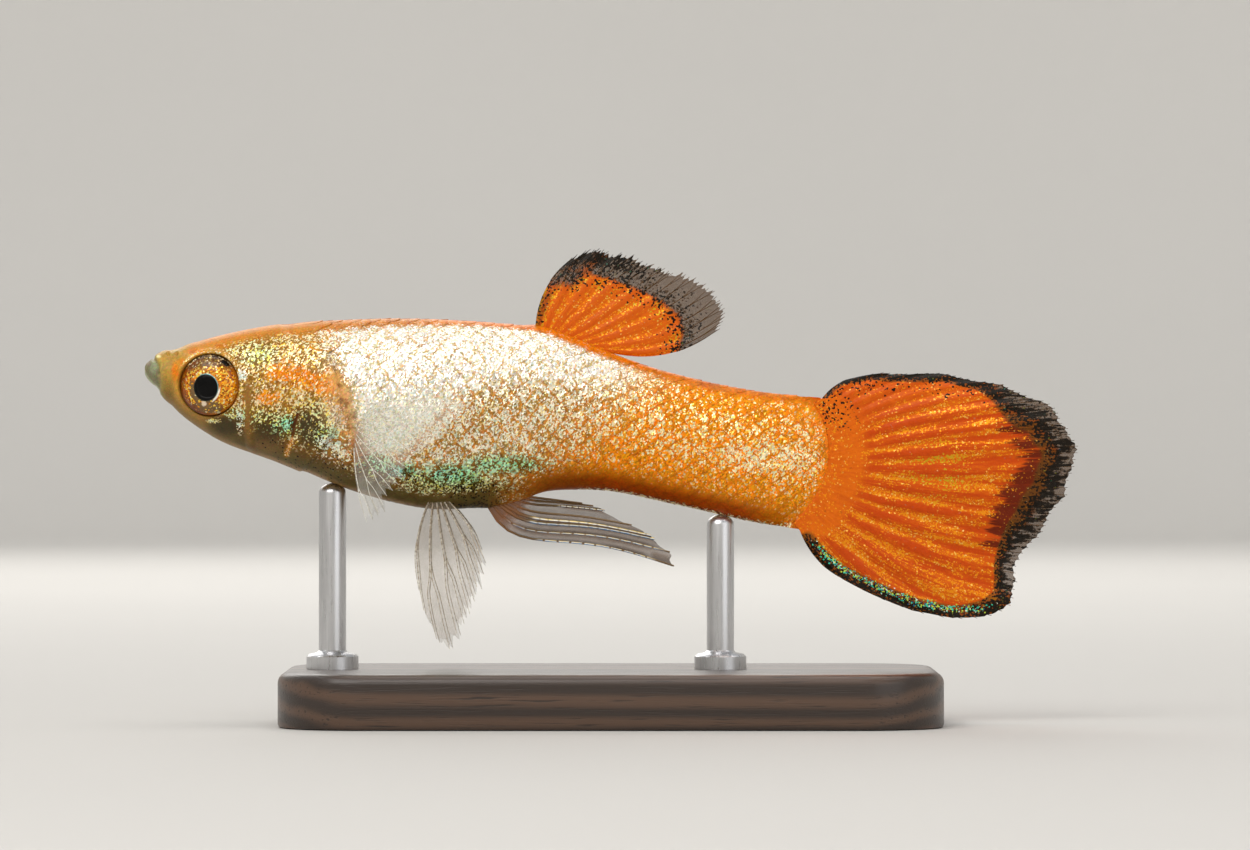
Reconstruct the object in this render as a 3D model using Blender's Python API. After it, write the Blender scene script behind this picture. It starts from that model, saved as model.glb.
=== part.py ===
"""A male Endler guppy as a still, life-size display model on a small two-rod stand.

Metres, +Z up. The head points along -X and the tail along +X, and the origin lies on the
floor under the middle of the model. The body is a loft through named stations, parted into
head, torso and tail stem. Each fin is one closed fan whose rays are ridges in its surface.
Places on the fish are given as a distance behind the snout and a height from its level.
"""

import math

import bmesh
import bpy
import numpy as np

MM = 0.001

# Overall sizes
BODY_LENGTH = 25.0 * MM  # snout tip to the root of the tail fin
TOTAL_LENGTH = 34.02 * MM  # snout tip to the furthest ray of the tail fin
SNOUT_HEIGHT = 12.9 * MM  # snout tip above the floor
SNOUT_X = -TOTAL_LENGTH / 2
GAP = 0.28 * MM  # clearance kept between nodes that touch

# Body profile: distance behind the snout, height of the back, height of the belly and half
# width, all in millimetres
PROFILE = (
    (0.00, 0.34, -0.34, 0.62),
    (0.50, 0.57, -0.77, 0.92),
    (1.20, 0.80, -1.51, 1.20),
    (2.30, 1.14, -2.33, 1.58),
    (4.90, 1.67, -3.37, 1.88),
    (7.90, 1.87, -4.55, 2.06),
    (10.60, 1.87, -5.12, 2.08),
    (13.00, 1.72, -4.90, 1.86),
    (14.60, 1.52, -4.50, 1.66),
    (16.50, 0.80, -4.42, 1.45),
    (19.20, -0.08, -4.92, 1.16),
    (22.60, -0.78, -5.66, 0.72),
    (25.00, -1.00, -5.98, 0.36),
)
SNOUT_ROUNDING = 0.55 * MM
WIDEST_SHARE = 0.53  # height of the widest point of a section as a share of its depth
BACK_POWER = 2.15  # superellipse power of a section's upper half
BELLY_POWER = 1.95

# Where the body is parted
GILL_EDGE = 7.15 * MM  # rear edge of the gill cover where it reaches furthest back
GILL_EDGE_HEIGHT = -1.30 * MM
GILL_EDGE_CURL = 1.25 * MM  # how far forward the edge has run at one reach
GILL_REACH_UP = 3.3 * MM
GILL_REACH_DOWN = 2.2 * MM
STEM_CUT = 17.3 * MM
GILL_COVER_LIFT = 0.10 * MM

# Rings and sides of the loft
SIDES = 32
HEAD_RINGS = 34
TORSO_RINGS = 22
STEM_RINGS = 15

# Eyes, mouth and nostrils
EYE_PLACE = (2.49 * MM, -0.56 * MM)
EYE_RADIUS = 1.12 * MM
EYE_DOME = 0.70 * MM
EYE_BACK = 0.40 * MM
EYE_INSET = 1.06 * MM  # the eye's widest ring from the midline
EYE_TURN = math.radians(10)  # the eyes look a little forward
PUPIL_RADIUS = 0.45 * MM
PUPIL_GROOVE = 0.07 * MM
PUPIL_GROOVE_SPREAD = 0.04 * MM
EYE_SIDES = 24
EYE_FRONT_SHARES = (0.0, 0.2, 0.35, 0.40, 0.46, 0.62, 0.8, 0.93, 1.0)  # rings, as shares of the radius
EYE_BACK_SHARES = (0.85, 0.5, 0.0)
EYE_RIM_LIFT = 0.05 * MM
EYE_RIM_SPREAD = 0.17 * MM
MOUTH_TOP = (0.36 * MM, 0.60 * MM)
MOUTH_CORNER = (0.58 * MM, -0.10 * MM)
MOUTH_SLIT = 0.13 * MM
LIP_LIFT = 0.07 * MM
LIP_SPREAD = 0.17 * MM
NOSTRILS = ((0.92 * MM, 0.50 * MM), (1.24 * MM, 0.56 * MM))
NOSTRIL_RADIUS = 0.12 * MM

# Fins in general
FIN_THICKNESS = 0.52 * MM
FIN_TIP_THICKNESS = 0.26 * MM
EDGE_THINNING = 0.75  # the outer rays' edges against the membrane
RAY_HEIGHT = 0.09 * MM
RAY_OVERHANG = 0.13 * MM  # how far a ray's tip stands out past the membrane
RAY_CRESTS = {2: (0, 1), 3: (0, 1, 1), 4: (0, 1, 0.45, 1)}  # heights over one ray's columns

# A fin's rays are given by a few values from its first ray to its last, spread evenly: the
# rise of the ray in degrees and its length in mm. A ray bows by a share of its length, half
# way along where the power is 1 and nearer the root where it is more
TAIL = dict(
    rises=(30.0, 21.0, 15.5, 10.0, 2.0, -8.0, -17.5, -30.0, -48.0),
    lengths=(1.6, 4.1, 6.2, 7.95, 8.66, 8.15, 7.45, 7.4, 2.35),
    bows=(0.10, -0.10),
    bow_power=1,
    rays=16,
    steps=4,
    rows=12,
)
TAIL_ROOT_TOP = (24.70 * MM, -1.04 * MM)
TAIL_ROOT_BOTTOM = (23.90 * MM, -5.86 * MM)
TAIL_ROOT_BULGE = 0.95 * MM
TAIL_WAVE = 0.34 * MM
TAIL_WAVES = 1.5

DORSAL = dict(
    rises=(61.8, 56.2, 44.6, 34.6, 27.7, 18.2, 10.6),
    lengths=(2.86, 3.45, 3.8, 4.24, 4.78, 5.0, 4.25),
    bows=(0.11, -0.13),
    bow_power=1,
    rays=10,
    steps=3,
    rows=9,
)
DORSAL_ROOT = (14.25 * MM, 16.75 * MM)
DORSAL_SWAY = 0.15 * MM

ANAL = dict(
    rises=(-15.1, -13.5, -10.5, -9.2, -4.6),
    lengths=(6.87, 5.95, 4.96, 3.53, 2.36),
    bows=(-0.10, 0.0),
    bow_power=3,
    rays=6,
    steps=3,
    rows=12,
)
ANAL_ROOT = (12.52 * MM, 14.05 * MM)

PELVIC = dict(
    rises=(-97.0, -86.0, -79.0, -72.5, -65.0, -56.0),
    lengths=(3.5, 5.45, 4.75, 4.0, 3.3, 2.6),
    bows=(-0.09, 0.07),
    bow_power=1,
    rays=6,
    steps=2,
    rows=8,
)
PELVIC_ROOT = (10.45 * MM, 10.95 * MM)
PELVIC_ROOT_SIDE = 0.62 * MM  # root from the midline
PELVIC_SPREADS = (0.9, 1.3, 1.5, 1.6, 1.6, 1.4)  # how far the rays' tips stand out sideways

PECTORAL = dict(
    rises=(2.0, -6.0, -20.0, -52.0, -80.0),
    lengths=(4.3, 3.7, 2.8, 2.4, 2.95),
    bows=(0.05, -0.05),
    bow_power=1,
    rays=11,
    steps=2,
    rows=9,
)
PECTORAL_ROOT_TOP = (7.62 * MM, -1.35 * MM)
PECTORAL_ROOT_BOTTOM = (7.70 * MM, -2.60 * MM)
PECTORAL_SPREADS = (1.0, 1.5, 1.9, 1.8, 1.2)
ROOT_DEPTH = 0.5 * MM  # how deep a paired fin starts inside the body before it is trimmed

# Stand
BASE_LENGTH = 24.0 * MM
BASE_WIDTH = 12.4 * MM
BASE_HEIGHT = 2.0 * MM
BASE_CORNER = 3.0 * MM
BASE_CHAMFER = 0.35 * MM
CORNER_STEPS = 6
ROD_RADIUS = 0.5 * MM
ROD_SIDES = 16
ROD_PLACES = {"stand_rod_front": 6.85 * MM, "stand_rod_rear": 21.0 * MM}


def smooth(xs, ys, x):
    """Values at x of the smooth curve through the points, held level past its ends."""
    xs = np.asarray(xs, float)
    ys = np.asarray(ys, float)
    x = np.clip(np.asarray(x, float), xs[0], xs[-1])
    slopes = np.gradient(ys, xs)
    i = np.clip(np.searchsorted(xs, x, side="right") - 1, 0, len(xs) - 2)
    span = xs[i + 1] - xs[i]
    t = (x - xs[i]) / span
    rise = ys[i] * (1 + 2 * t) * (1 - t) ** 2 + ys[i + 1] * t * t * (3 - 2 * t)
    lean = slopes[i] * t * (1 - t) ** 2 - slopes[i + 1] * t * t * (1 - t)
    return rise + lean * span


def along_rays(values, v):
    """The value for the ray at share v, from a few values spread evenly over the fin."""
    return smooth(np.linspace(0, 1, len(values)), values, v)


def section(back_of_snout):
    """Half width, widest height, upper and lower half depth of the body at a distance."""
    stations = np.array(PROFILE) * MM
    back, belly, half = (smooth(stations[:, 0], stations[:, k], back_of_snout) for k in (1, 2, 3))
    blunt = 1 - np.clip(np.asarray(back_of_snout) / SNOUT_ROUNDING, 0, 1)
    rounding = np.sqrt(np.clip(1 - blunt**2, 0, 1))
    widest = belly + WIDEST_SHARE * (back - belly)
    return half * rounding, widest, (back - widest) * rounding, (widest - belly) * rounding


def signed_power(value, power):
    return np.sign(value) * np.abs(value) ** power


def body_point(distance, angle, grow=0.0):
    """Distance, sideways place and height of the body's surface, grown outwards if asked."""
    half, widest, up, down = section(distance)
    sine = np.sin(angle)
    power = np.where(sine > 0, 2 / BACK_POWER, 2 / BELLY_POWER)
    side = (half + grow) * signed_power(np.cos(angle), power)
    height = widest + (np.where(sine > 0, up, down) + grow) * signed_power(sine, power)
    return distance, side, height


def relief(distance, height):
    """How far the head stands out past the plain loft: gill cover, eye rim and lips."""
    behind_eye = np.clip((distance - 3.6 * MM) / (2.4 * MM), 0, 1)
    level = np.exp(-(((height - GILL_EDGE_HEIGHT) / (2.3 * MM)) ** 4))
    cover = GILL_COVER_LIFT * behind_eye * level
    from_eye = np.hypot(distance - EYE_PLACE[0], height - EYE_PLACE[1])
    rim = EYE_RIM_LIFT * np.exp(-(((from_eye - 1.3 * MM) / EYE_RIM_SPREAD) ** 2))
    top, corner = np.array(MOUTH_TOP), np.array(MOUTH_CORNER)
    run = corner - top
    share = ((distance - top[0]) * run[0] + (height - top[1]) * run[1]) / (run @ run)
    share = np.clip(share, 0, 1)
    from_mouth = np.hypot(distance - top[0] - share * run[0], height - top[1] - share * run[1])
    lips = LIP_LIFT * np.exp(-((from_mouth / LIP_SPREAD) ** 2))
    return cover + rim + lips


def gill_edge(height):
    """Distance of the gill cover's rear edge at a height."""
    off = height - GILL_EDGE_HEIGHT
    reach = np.where(off > 0, GILL_REACH_UP, GILL_REACH_DOWN)
    return GILL_EDGE - GILL_EDGE_CURL * (off / reach) ** 2


def tail_edge(height):
    """Distance of the tail fin's root line at a height."""
    share = (TAIL_ROOT_TOP[1] - height) / (TAIL_ROOT_TOP[1] - TAIL_ROOT_BOTTOM[1])
    straight = TAIL_ROOT_TOP[0] + share * (TAIL_ROOT_BOTTOM[0] - TAIL_ROOT_TOP[0])
    return straight + TAIL_ROOT_BULGE * 4 * share * (1 - share)


def edge_on_loft(edge, angle, start):
    """Where a parting edge, given by height, crosses the loft at each angle."""
    distance = np.full_like(angle, start)
    for _ in range(12):
        distance = edge(body_point(distance, angle)[2])
    return distance


def in_world(distance, side, height):
    return np.stack([SNOUT_X + distance, side, SNOUT_HEIGHT + height], axis=-1)


def new_object(name, points, faces, material):
    """A mesh object with its faces pointing out."""
    mesh = bpy.data.meshes.new(name)
    mesh.from_pydata([tuple(map(float, p)) for p in points], [], faces)
    shape = bmesh.new()
    shape.from_mesh(mesh)
    bmesh.ops.recalc_face_normals(shape, faces=shape.faces)
    shape.to_mesh(mesh)
    shape.free()
    mesh.shade_smooth()
    mesh.set_sharp_from_angle(angle=math.radians(40))
    obj = bpy.data.objects.new(name, mesh)
    bpy.context.scene.collection.objects.link(obj)
    if material:
        mesh.materials.append(material)
    return obj


def new_material(name, colour, roughness, metallic=0.0):
    material = bpy.data.materials.new(name)
    material.use_nodes = True
    shader = material.node_tree.nodes["Principled BSDF"]
    shader.inputs["Base Color"].default_value = (*colour, 1.0)
    shader.inputs["Roughness"].default_value = roughness
    shader.inputs["Metallic"].default_value = metallic
    return material


def hide_cutter(obj):
    obj.hide_render = True
    obj.display_type = "WIRE"


def cut(obj, cutters, name):
    """Cuts a collection of closed meshes out of an object."""
    tools = bpy.data.collections.new(name)
    bpy.context.scene.collection.children.link(tools)
    for cutter in cutters:
        bpy.context.scene.collection.objects.unlink(cutter)
        tools.objects.link(cutter)
        hide_cutter(cutter)
    modifier = obj.modifiers.new(name, "BOOLEAN")
    modifier.operation = "DIFFERENCE"
    modifier.operand_type = "COLLECTION"
    modifier.collection = tools
    modifier.solver = "EXACT"


def level_cap(ring):
    """Faces that close a ring of SIDES points with strips running straight across it."""
    quarter, half = SIDES // 4, SIDES // 2
    faces = []
    for j in range(-quarter, quarter):
        corners = [ring[j % SIDES], ring[(j + 1) % SIDES]]
        corners += [ring[(half - j - 1) % SIDES], ring[(half - j) % SIDES]]
        faces.append(list(dict.fromkeys(corners)))
    return faces


def lofted(name, distances, material, lift=None, grow=0.0):
    """A closed length of the body. distances has one row of SIDES values for each ring, and
    a first row of one value makes the snout's pole."""
    angles = np.arange(SIDES) * math.tau / SIDES
    pointed = len(distances[0]) == 1
    points, faces, rings = [], [], []
    for row in distances:
        if len(row) == 1:
            _, widest, _, _ = section(row[0])
            points.append(in_world(row[0] - grow, 0.0, widest))
            rings.append([0])
            continue
        distance, side, height = body_point(row, angles, grow)
        if lift is not None:
            outward = np.stack([side, height - section(row)[1]])
            outward = outward / np.maximum(np.linalg.norm(outward, axis=0), 1e-9)
            side = side + outward[0] * lift(distance, height)
            height = height + outward[1] * lift(distance, height)
        rings.append(list(range(len(points), len(points) + SIDES)))
        points.extend(in_world(distance, side, height))
    for first, second in zip(rings, rings[1:]):
        for j in range(SIDES):
            k = (j + 1) % SIDES
            if len(first) == 1:
                faces.append([first[0], second[j], second[k]])
            else:
                faces.append([first[j], second[j], second[k], first[k]])
    if not pointed:
        faces += level_cap(rings[0])
    faces += level_cap(rings[-1])
    return new_object(name, points, faces, material)


def body_rings(start, end, count):
    """Rings spread evenly between two parting edges."""
    return [start + (end - start) * share for share in np.linspace(0, 1, count + 1)]


def make_head(material):
    angles = np.arange(SIDES) * math.tau / SIDES
    edge = edge_on_loft(gill_edge, angles, GILL_EDGE)
    shares = [0.25 * s + 0.75 * s * s for s in np.linspace(0, 1, HEAD_RINGS + 1)]
    rings = [np.array([0.0])] + [edge * share for share in shares[1:]]
    head = lofted("head", rings, material, lift=relief)
    cutters = [eye_solid(f"socket_{name}", side, None, GAP) for name, side in SIDES_OF_BODY]
    cutters.append(mouth_cutter())
    for name, side in SIDES_OF_BODY:
        for number, place in enumerate(NOSTRILS):
            cutters.append(nostril_cutter(f"nostril_{name}_{number}", place, side))
    cut(head, cutters, "head_openings")
    return head


def make_torso(material):
    angles = np.arange(SIDES) * math.tau / SIDES
    start = edge_on_loft(lambda height: gill_edge(height) + GAP, angles, GILL_EDGE)
    end = np.full(SIDES, STEM_CUT)
    return lofted("torso", body_rings(start, end, TORSO_RINGS), material)


def make_tail_stem(material):
    angles = np.arange(SIDES) * math.tau / SIDES
    start = np.full(SIDES, STEM_CUT + GAP)
    end = edge_on_loft(lambda height: tail_edge(height) - GAP, angles, BODY_LENGTH)
    return lofted("tail_stem", body_rings(start, end, STEM_RINGS), material)


def body_cutter():
    """The whole body grown by the gap, to trim what grows out of it."""
    rows = [np.array([0.0])]
    rows += [np.full(SIDES, distance) for distance in np.linspace(0.1 * MM, BODY_LENGTH, 60)]
    return lofted("body_cutter", rows, None, grow=GAP)


def eye_solid(name, side, material, grow=0.0):
    """An eye turned about its own axis: a dome with a groove round the pupil, and a flat back.
    Grown by the gap, and then without the groove, it is the cutter of its socket."""
    points, faces, rings = [], [], []
    radius = EYE_RADIUS + grow
    middle = np.array([EYE_PLACE[0], side * EYE_INSET, EYE_PLACE[1]])
    axis = np.array([-math.sin(EYE_TURN), side * math.cos(EYE_TURN), 0.0])
    across = np.array([math.cos(EYE_TURN), side * math.sin(EYE_TURN), 0.0])
    upward = np.array([0.0, 0.0, 1.0])
    profile = [(share, EYE_DOME + grow) for share in EYE_FRONT_SHARES]
    profile += [(share, -EYE_BACK - grow) for share in EYE_BACK_SHARES]
    for share, depth in profile:
        out = radius * share
        height = depth * math.sqrt(1 - share * share)
        if not grow and depth > 0:
            height -= PUPIL_GROOVE * math.exp(-(((out - PUPIL_RADIUS) / PUPIL_GROOVE_SPREAD) ** 2))
        count = EYE_SIDES if out else 1
        rings.append(list(range(len(points), len(points) + count)))
        for k in range(count):
            turn = math.tau * k / EYE_SIDES
            spot = middle + axis * height + out * (math.cos(turn) * across + math.sin(turn) * upward)
            points.append(in_world(*spot))
    for first, second in zip(rings, rings[1:]):
        for j in range(EYE_SIDES):
            k = (j + 1) % EYE_SIDES
            corners = [first[j % len(first)], first[k % len(first)]]
            corners += [second[k % len(second)], second[j % len(second)]]
            faces.append(list(dict.fromkeys(corners)))
    return new_object(name, points, faces, material)


def mouth_cutter():
    """A thin slab that opens the mouth from the top of the snout down to its corners."""
    top, corner = np.array(MOUTH_TOP), np.array(MOUTH_CORNER)
    run = (corner - top) / np.linalg.norm(corner - top)
    across = np.array([-run[1], run[0]]) * MOUTH_SLIT / 2
    upper = top - run * 0.5 * MM
    points = []
    for side in (-1.5 * MM, 1.5 * MM):
        for spot in (upper - across, upper + across, corner + across, corner - across):
            points.append(in_world(spot[0], side, spot[1]))
    faces = [[0, 1, 2, 3], [4, 5, 6, 7]]
    faces += [[k, (k + 1) % 4, 4 + (k + 1) % 4, 4 + k] for k in range(4)]
    return new_object("mouth_cutter", points, faces, None)


def flank(distance, height):
    """How far the body's side is from the midline at a distance and height."""
    half, widest, up, down = section(distance)
    off = height - widest
    depth, power = (up, BACK_POWER) if off > 0 else (down, BELLY_POWER)
    share = min(abs(off) / depth, 1.0)
    return half * (1 - share**power) ** (1 / power)


def belly_height(distance, side):
    """Height of the body's underside at a distance and a place off the midline."""
    half, widest, _, down = section(distance)
    share = min(abs(side) / half, 1.0)
    return widest - down * (1 - share**BELLY_POWER) ** (1 / BELLY_POWER)


def nostril_cutter(name, place, side):
    distance, height = place
    shape = bmesh.new()
    bmesh.ops.create_icosphere(shape, subdivisions=1, radius=NOSTRIL_RADIUS)
    mesh = bpy.data.meshes.new(name)
    spot = in_world(distance, side * flank(distance, height), height)
    for vertex in shape.verts:
        vertex.co.x += spot[0]
        vertex.co.y += spot[1]
        vertex.co.z += spot[2]
    shape.to_mesh(mesh)
    shape.free()
    obj = bpy.data.objects.new(name, mesh)
    bpy.context.scene.collection.objects.link(obj)
    return obj


def ray_path(fin, root, v, u, overhang):
    """Distance and height of a ray's point at share u of its length, rays lying at v."""
    rise = np.radians(along_rays(fin["rises"], v))
    length = along_rays(fin["lengths"], v) * MM + overhang
    power = fin["bow_power"]
    fullest = power**power / (1 + power) ** (1 + power)
    share = fin["bows"][0] + (fin["bows"][1] - fin["bows"][0]) * v
    bow = share * length * u * (1 - u) ** power / fullest
    forward = u * length
    distance = root[0] + forward * np.cos(rise) - bow * np.sin(rise)
    height = root[1] + forward * np.sin(rise) + bow * np.cos(rise)
    return distance, height


def make_fin(name, fin, root_of, sideways, material):
    """A fin as one closed fan. root_of gives a ray's root and sideways its distance off the
    midline at each point, both from the ray's share v of the fan."""
    steps = fin["steps"]
    columns = fin["rays"] * steps + 1
    rows = fin["rows"]
    crests = [RAY_CRESTS[steps][c % steps] for c in range(columns)]
    middle = np.zeros((columns, rows + 1, 3))
    for c in range(columns):
        v = c / (columns - 1)
        overhang = RAY_OVERHANG * (2 * crests[c] - 1)
        for r in range(rows + 1):
            u = (r / rows) ** 1.15
            distance, height = ray_path(fin, root_of(v), v, u, overhang)
            middle[c, r] = in_world(distance, sideways(u, v), height)
    across = np.gradient(middle, axis=0)
    outward = np.gradient(middle, axis=1)
    normals = np.cross(across, outward)
    normals /= np.linalg.norm(normals, axis=2, keepdims=True)
    points = []
    for face in (1, -1):
        for c in range(columns):
            thin = EDGE_THINNING if c in (0, columns - 1) else 1.0
            for r in range(rows + 1):
                u = r / rows
                sheet = FIN_THICKNESS + (FIN_TIP_THICKNESS - FIN_THICKNESS) * u**3
                half = sheet * thin / 2 + RAY_HEIGHT * crests[c] * (1 - 0.4 * u)
                points.append(middle[c, r] + face * half * normals[c, r])
    return new_object(name, points, fan_faces(columns, rows), material)


def fan_faces(columns, rows):
    """Triangles of a fan's two faces, split alike, and of the strip that joins their rims."""
    def at(c, r, back):
        return c * (rows + 1) + r + back * columns * (rows + 1)

    faces = []
    for c in range(columns - 1):
        for r in range(rows):
            quad = [(c, r), (c + 1, r), (c + 1, r + 1), (c, r + 1)]
            for corners in ((0, 1, 2), (0, 2, 3)):
                faces.append([at(*quad[k], 0) for k in corners])
                faces.append([at(*quad[k], 1) for k in reversed(corners)])
    rim = [(c, 0) for c in range(columns)]
    rim += [(columns - 1, r) for r in range(1, rows + 1)]
    rim += [(c, rows) for c in range(columns - 2, -1, -1)]
    rim += [(0, r) for r in range(rows - 1, 0, -1)]
    for first, second in zip(rim, rim[1:] + rim[:1]):
        faces.append([at(*first, 0), at(*first, 1), at(*second, 1)])
        faces.append([at(*first, 0), at(*second, 1), at(*second, 0)])
    return faces


def make_tail_fin(material):
    def root_of(v):
        height = TAIL_ROOT_TOP[1] + v * (TAIL_ROOT_BOTTOM[1] - TAIL_ROOT_TOP[1])
        return tail_edge(height), height

    def sideways(u, v):
        return TAIL_WAVE * u**1.6 * math.sin(math.tau * TAIL_WAVES * v + 0.6)

    return make_fin("tail_fin", TAIL, root_of, sideways, material)


def make_dorsal_fin(material):
    def root_of(v):
        distance = DORSAL_ROOT[0] + v * (DORSAL_ROOT[1] - DORSAL_ROOT[0])
        _, widest, up, _ = section(distance)
        return distance, widest + up + GAP

    def sideways(u, v):
        return DORSAL_SWAY * u**1.5 * math.sin(math.pi * (0.2 + 1.1 * v))

    return make_fin("dorsal_fin", DORSAL, root_of, sideways, material)


def make_anal_fin(material):
    def root_of(v):
        distance = ANAL_ROOT[0] + v * (ANAL_ROOT[1] - ANAL_ROOT[0])
        return distance, belly_height(distance, 0.0) - GAP

    return make_fin("anal_fin", ANAL, root_of, lambda u, v: 0.0, material)


def make_pelvic_fin(name, side, material):
    def root_of(v):
        distance = PELVIC_ROOT[0] + v * (PELVIC_ROOT[1] - PELVIC_ROOT[0])
        return distance, belly_height(distance, PELVIC_ROOT_SIDE) + ROOT_DEPTH

    def sideways(u, v):
        spread = along_rays(PELVIC_SPREADS, v) * MM
        return side * (PELVIC_ROOT_SIDE + spread * u)

    return make_fin(f"pelvic_fin_{name}", PELVIC, root_of, sideways, material)


def make_pectoral_fin(name, side, material):
    top, bottom = np.array(PECTORAL_ROOT_TOP), np.array(PECTORAL_ROOT_BOTTOM)

    def root_of(v):
        return tuple(top + v * (bottom - top))

    def sideways(u, v):
        start = flank(*root_of(v)) - ROOT_DEPTH
        spread = along_rays(PECTORAL_SPREADS, v) * MM + ROOT_DEPTH
        return side * (start + spread * (1 - (1 - u) ** 1.7))

    return make_fin(f"pectoral_fin_{name}", PECTORAL, root_of, sideways, material)


def make_base(material):
    """A low plate with round corners and a chamfered top edge."""
    outlines = ((0.0, 0.0), (0.0, BASE_HEIGHT - BASE_CHAMFER), (BASE_CHAMFER, BASE_HEIGHT))
    corners = ((1, 1, 0), (-1, 1, 90), (-1, -1, 180), (1, -1, 270))
    points, faces, rings = [], [], []
    for inset, height in outlines:
        ring = []
        for right, back, start in corners:
            for k in range(CORNER_STEPS + 1):
                turn = math.radians(start + 90 * k / CORNER_STEPS)
                radius = BASE_CORNER - inset
                x = right * (BASE_LENGTH / 2 - BASE_CORNER) + radius * math.cos(turn)
                y = back * (BASE_WIDTH / 2 - BASE_CORNER) + radius * math.sin(turn)
                ring.append(len(points))
                points.append((x, y, height))
        rings.append(ring)
    count = len(rings[0])
    for first, second in zip(rings, rings[1:]):
        for j in range(count):
            k = (j + 1) % count
            faces.append([first[j], first[k], second[k], second[j]])
    faces += [rings[0], rings[-1]]
    return new_object("stand_base", points, faces, material)


def make_rod(name, distance, material):
    """A round rod whose top follows the belly above it."""
    points, faces = [], []
    for k in range(ROD_SIDES):
        turn = math.tau * k / ROD_SIDES
        spot = distance + ROD_RADIUS * math.cos(turn)
        side = ROD_RADIUS * math.sin(turn)
        points.append((SNOUT_X + spot, side, BASE_HEIGHT + GAP))
        points.append(in_world(spot, side, belly_height(spot, side) - GAP))
    points.append(in_world(distance, 0.0, belly_height(distance, 0.0) - GAP))
    for k in range(ROD_SIDES):
        after = (k + 1) % ROD_SIDES
        faces.append([2 * k, 2 * after, 2 * after + 1, 2 * k + 1])
        faces.append([2 * k + 1, 2 * after + 1, 2 * ROD_SIDES])
    faces.append([2 * k for k in range(ROD_SIDES)])
    return new_object(name, points, faces, material)


SIDES_OF_BODY = (("left", -1), ("right", 1))


def main():
    for obj in list(bpy.data.objects):
        bpy.data.objects.remove(obj)
    silver = new_material("silver_flank", (0.86, 0.72, 0.62), 0.32)
    gold = new_material("gold_head", (0.72, 0.42, 0.16), 0.35)
    orange = new_material("orange_stem", (0.90, 0.38, 0.05), 0.35)
    tail = new_material("orange_fin", (0.88, 0.26, 0.02), 0.45)
    clear = new_material("clear_fin", (0.62, 0.56, 0.48), 0.40)
    iris = new_material("gold_eye", (0.80, 0.42, 0.06), 0.12)
    wood = new_material("dark_wood", (0.09, 0.05, 0.03), 0.45)
    steel = new_material("steel_rod", (0.62, 0.62, 0.63), 0.30, metallic=1.0)
    make_head(gold)
    make_torso(silver)
    make_tail_stem(orange)
    for name, side in SIDES_OF_BODY:
        eye_solid(f"eye_{name}", side, iris)
    make_tail_fin(tail)
    make_dorsal_fin(tail)
    make_anal_fin(clear)
    paired = []
    for name, side in SIDES_OF_BODY:
        paired.append(make_pelvic_fin(name, side, clear))
        paired.append(make_pectoral_fin(name, side, clear))
    trimmer = body_cutter()
    hide_cutter(trimmer)
    for fin in paired:
        trim = fin.modifiers.new("trim_to_body", "BOOLEAN")
        trim.operation = "DIFFERENCE"
        trim.object = trimmer
        trim.solver = "EXACT"
    make_base(wood)
    for name, distance in ROD_PLACES.items():
        make_rod(name, distance, steel)


main()
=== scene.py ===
"""The looks of a life-size male Endler guppy on a small display stand.

The file is laid out as an add-on: settings, one operator for each piece or group of like
pieces and one for the studio, and a panel that lists them. Run as a script, it builds all.

Places on the fish are a distance behind the snout, a side off the midline and a height from
the snout's level, in millimetres. in_world turns them into metres, with +Z up.
"""

import math

import bmesh
import bpy
import numpy as np
from bpy.props import FloatProperty, FloatVectorProperty, IntProperty, PointerProperty
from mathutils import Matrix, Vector


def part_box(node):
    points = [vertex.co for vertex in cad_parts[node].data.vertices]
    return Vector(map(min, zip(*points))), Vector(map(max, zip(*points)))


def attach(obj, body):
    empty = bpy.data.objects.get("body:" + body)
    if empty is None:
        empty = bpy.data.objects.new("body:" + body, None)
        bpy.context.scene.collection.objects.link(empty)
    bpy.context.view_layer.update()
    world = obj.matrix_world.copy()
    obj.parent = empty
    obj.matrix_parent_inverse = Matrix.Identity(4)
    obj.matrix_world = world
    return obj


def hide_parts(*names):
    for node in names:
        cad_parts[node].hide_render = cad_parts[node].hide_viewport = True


bl_info = {
    "name": "Endler Guppy Display Model",
    "version": (1, 0, 0),
    "blender": (4, 5, 0),
    "location": "View3D > Sidebar > Guppy",
    "description": "Builds the skin, scales, eyes, fins and stand of a display guppy",
    "category": "Object",
}

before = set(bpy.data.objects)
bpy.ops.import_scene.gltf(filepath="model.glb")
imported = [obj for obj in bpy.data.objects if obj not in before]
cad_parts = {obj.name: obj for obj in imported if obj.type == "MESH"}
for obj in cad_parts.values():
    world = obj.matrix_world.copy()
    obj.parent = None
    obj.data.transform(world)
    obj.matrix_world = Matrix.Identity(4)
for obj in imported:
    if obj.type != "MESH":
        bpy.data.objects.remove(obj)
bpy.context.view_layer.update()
MM = 0.001
BODY = "root"
SEED = 7
BAKE_PATCH = 0.003  # size of a scale's patch on the unwrap
RAY_SIDES = 6
SIDES_OF_BODY = (("left", -1), ("right", 1))

# The snout's tip: along the fish where the solids begin, and its height over the floor
SNOUT_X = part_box("head")[0].x
SNOUT_HEIGHT = 12.9 * MM

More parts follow.
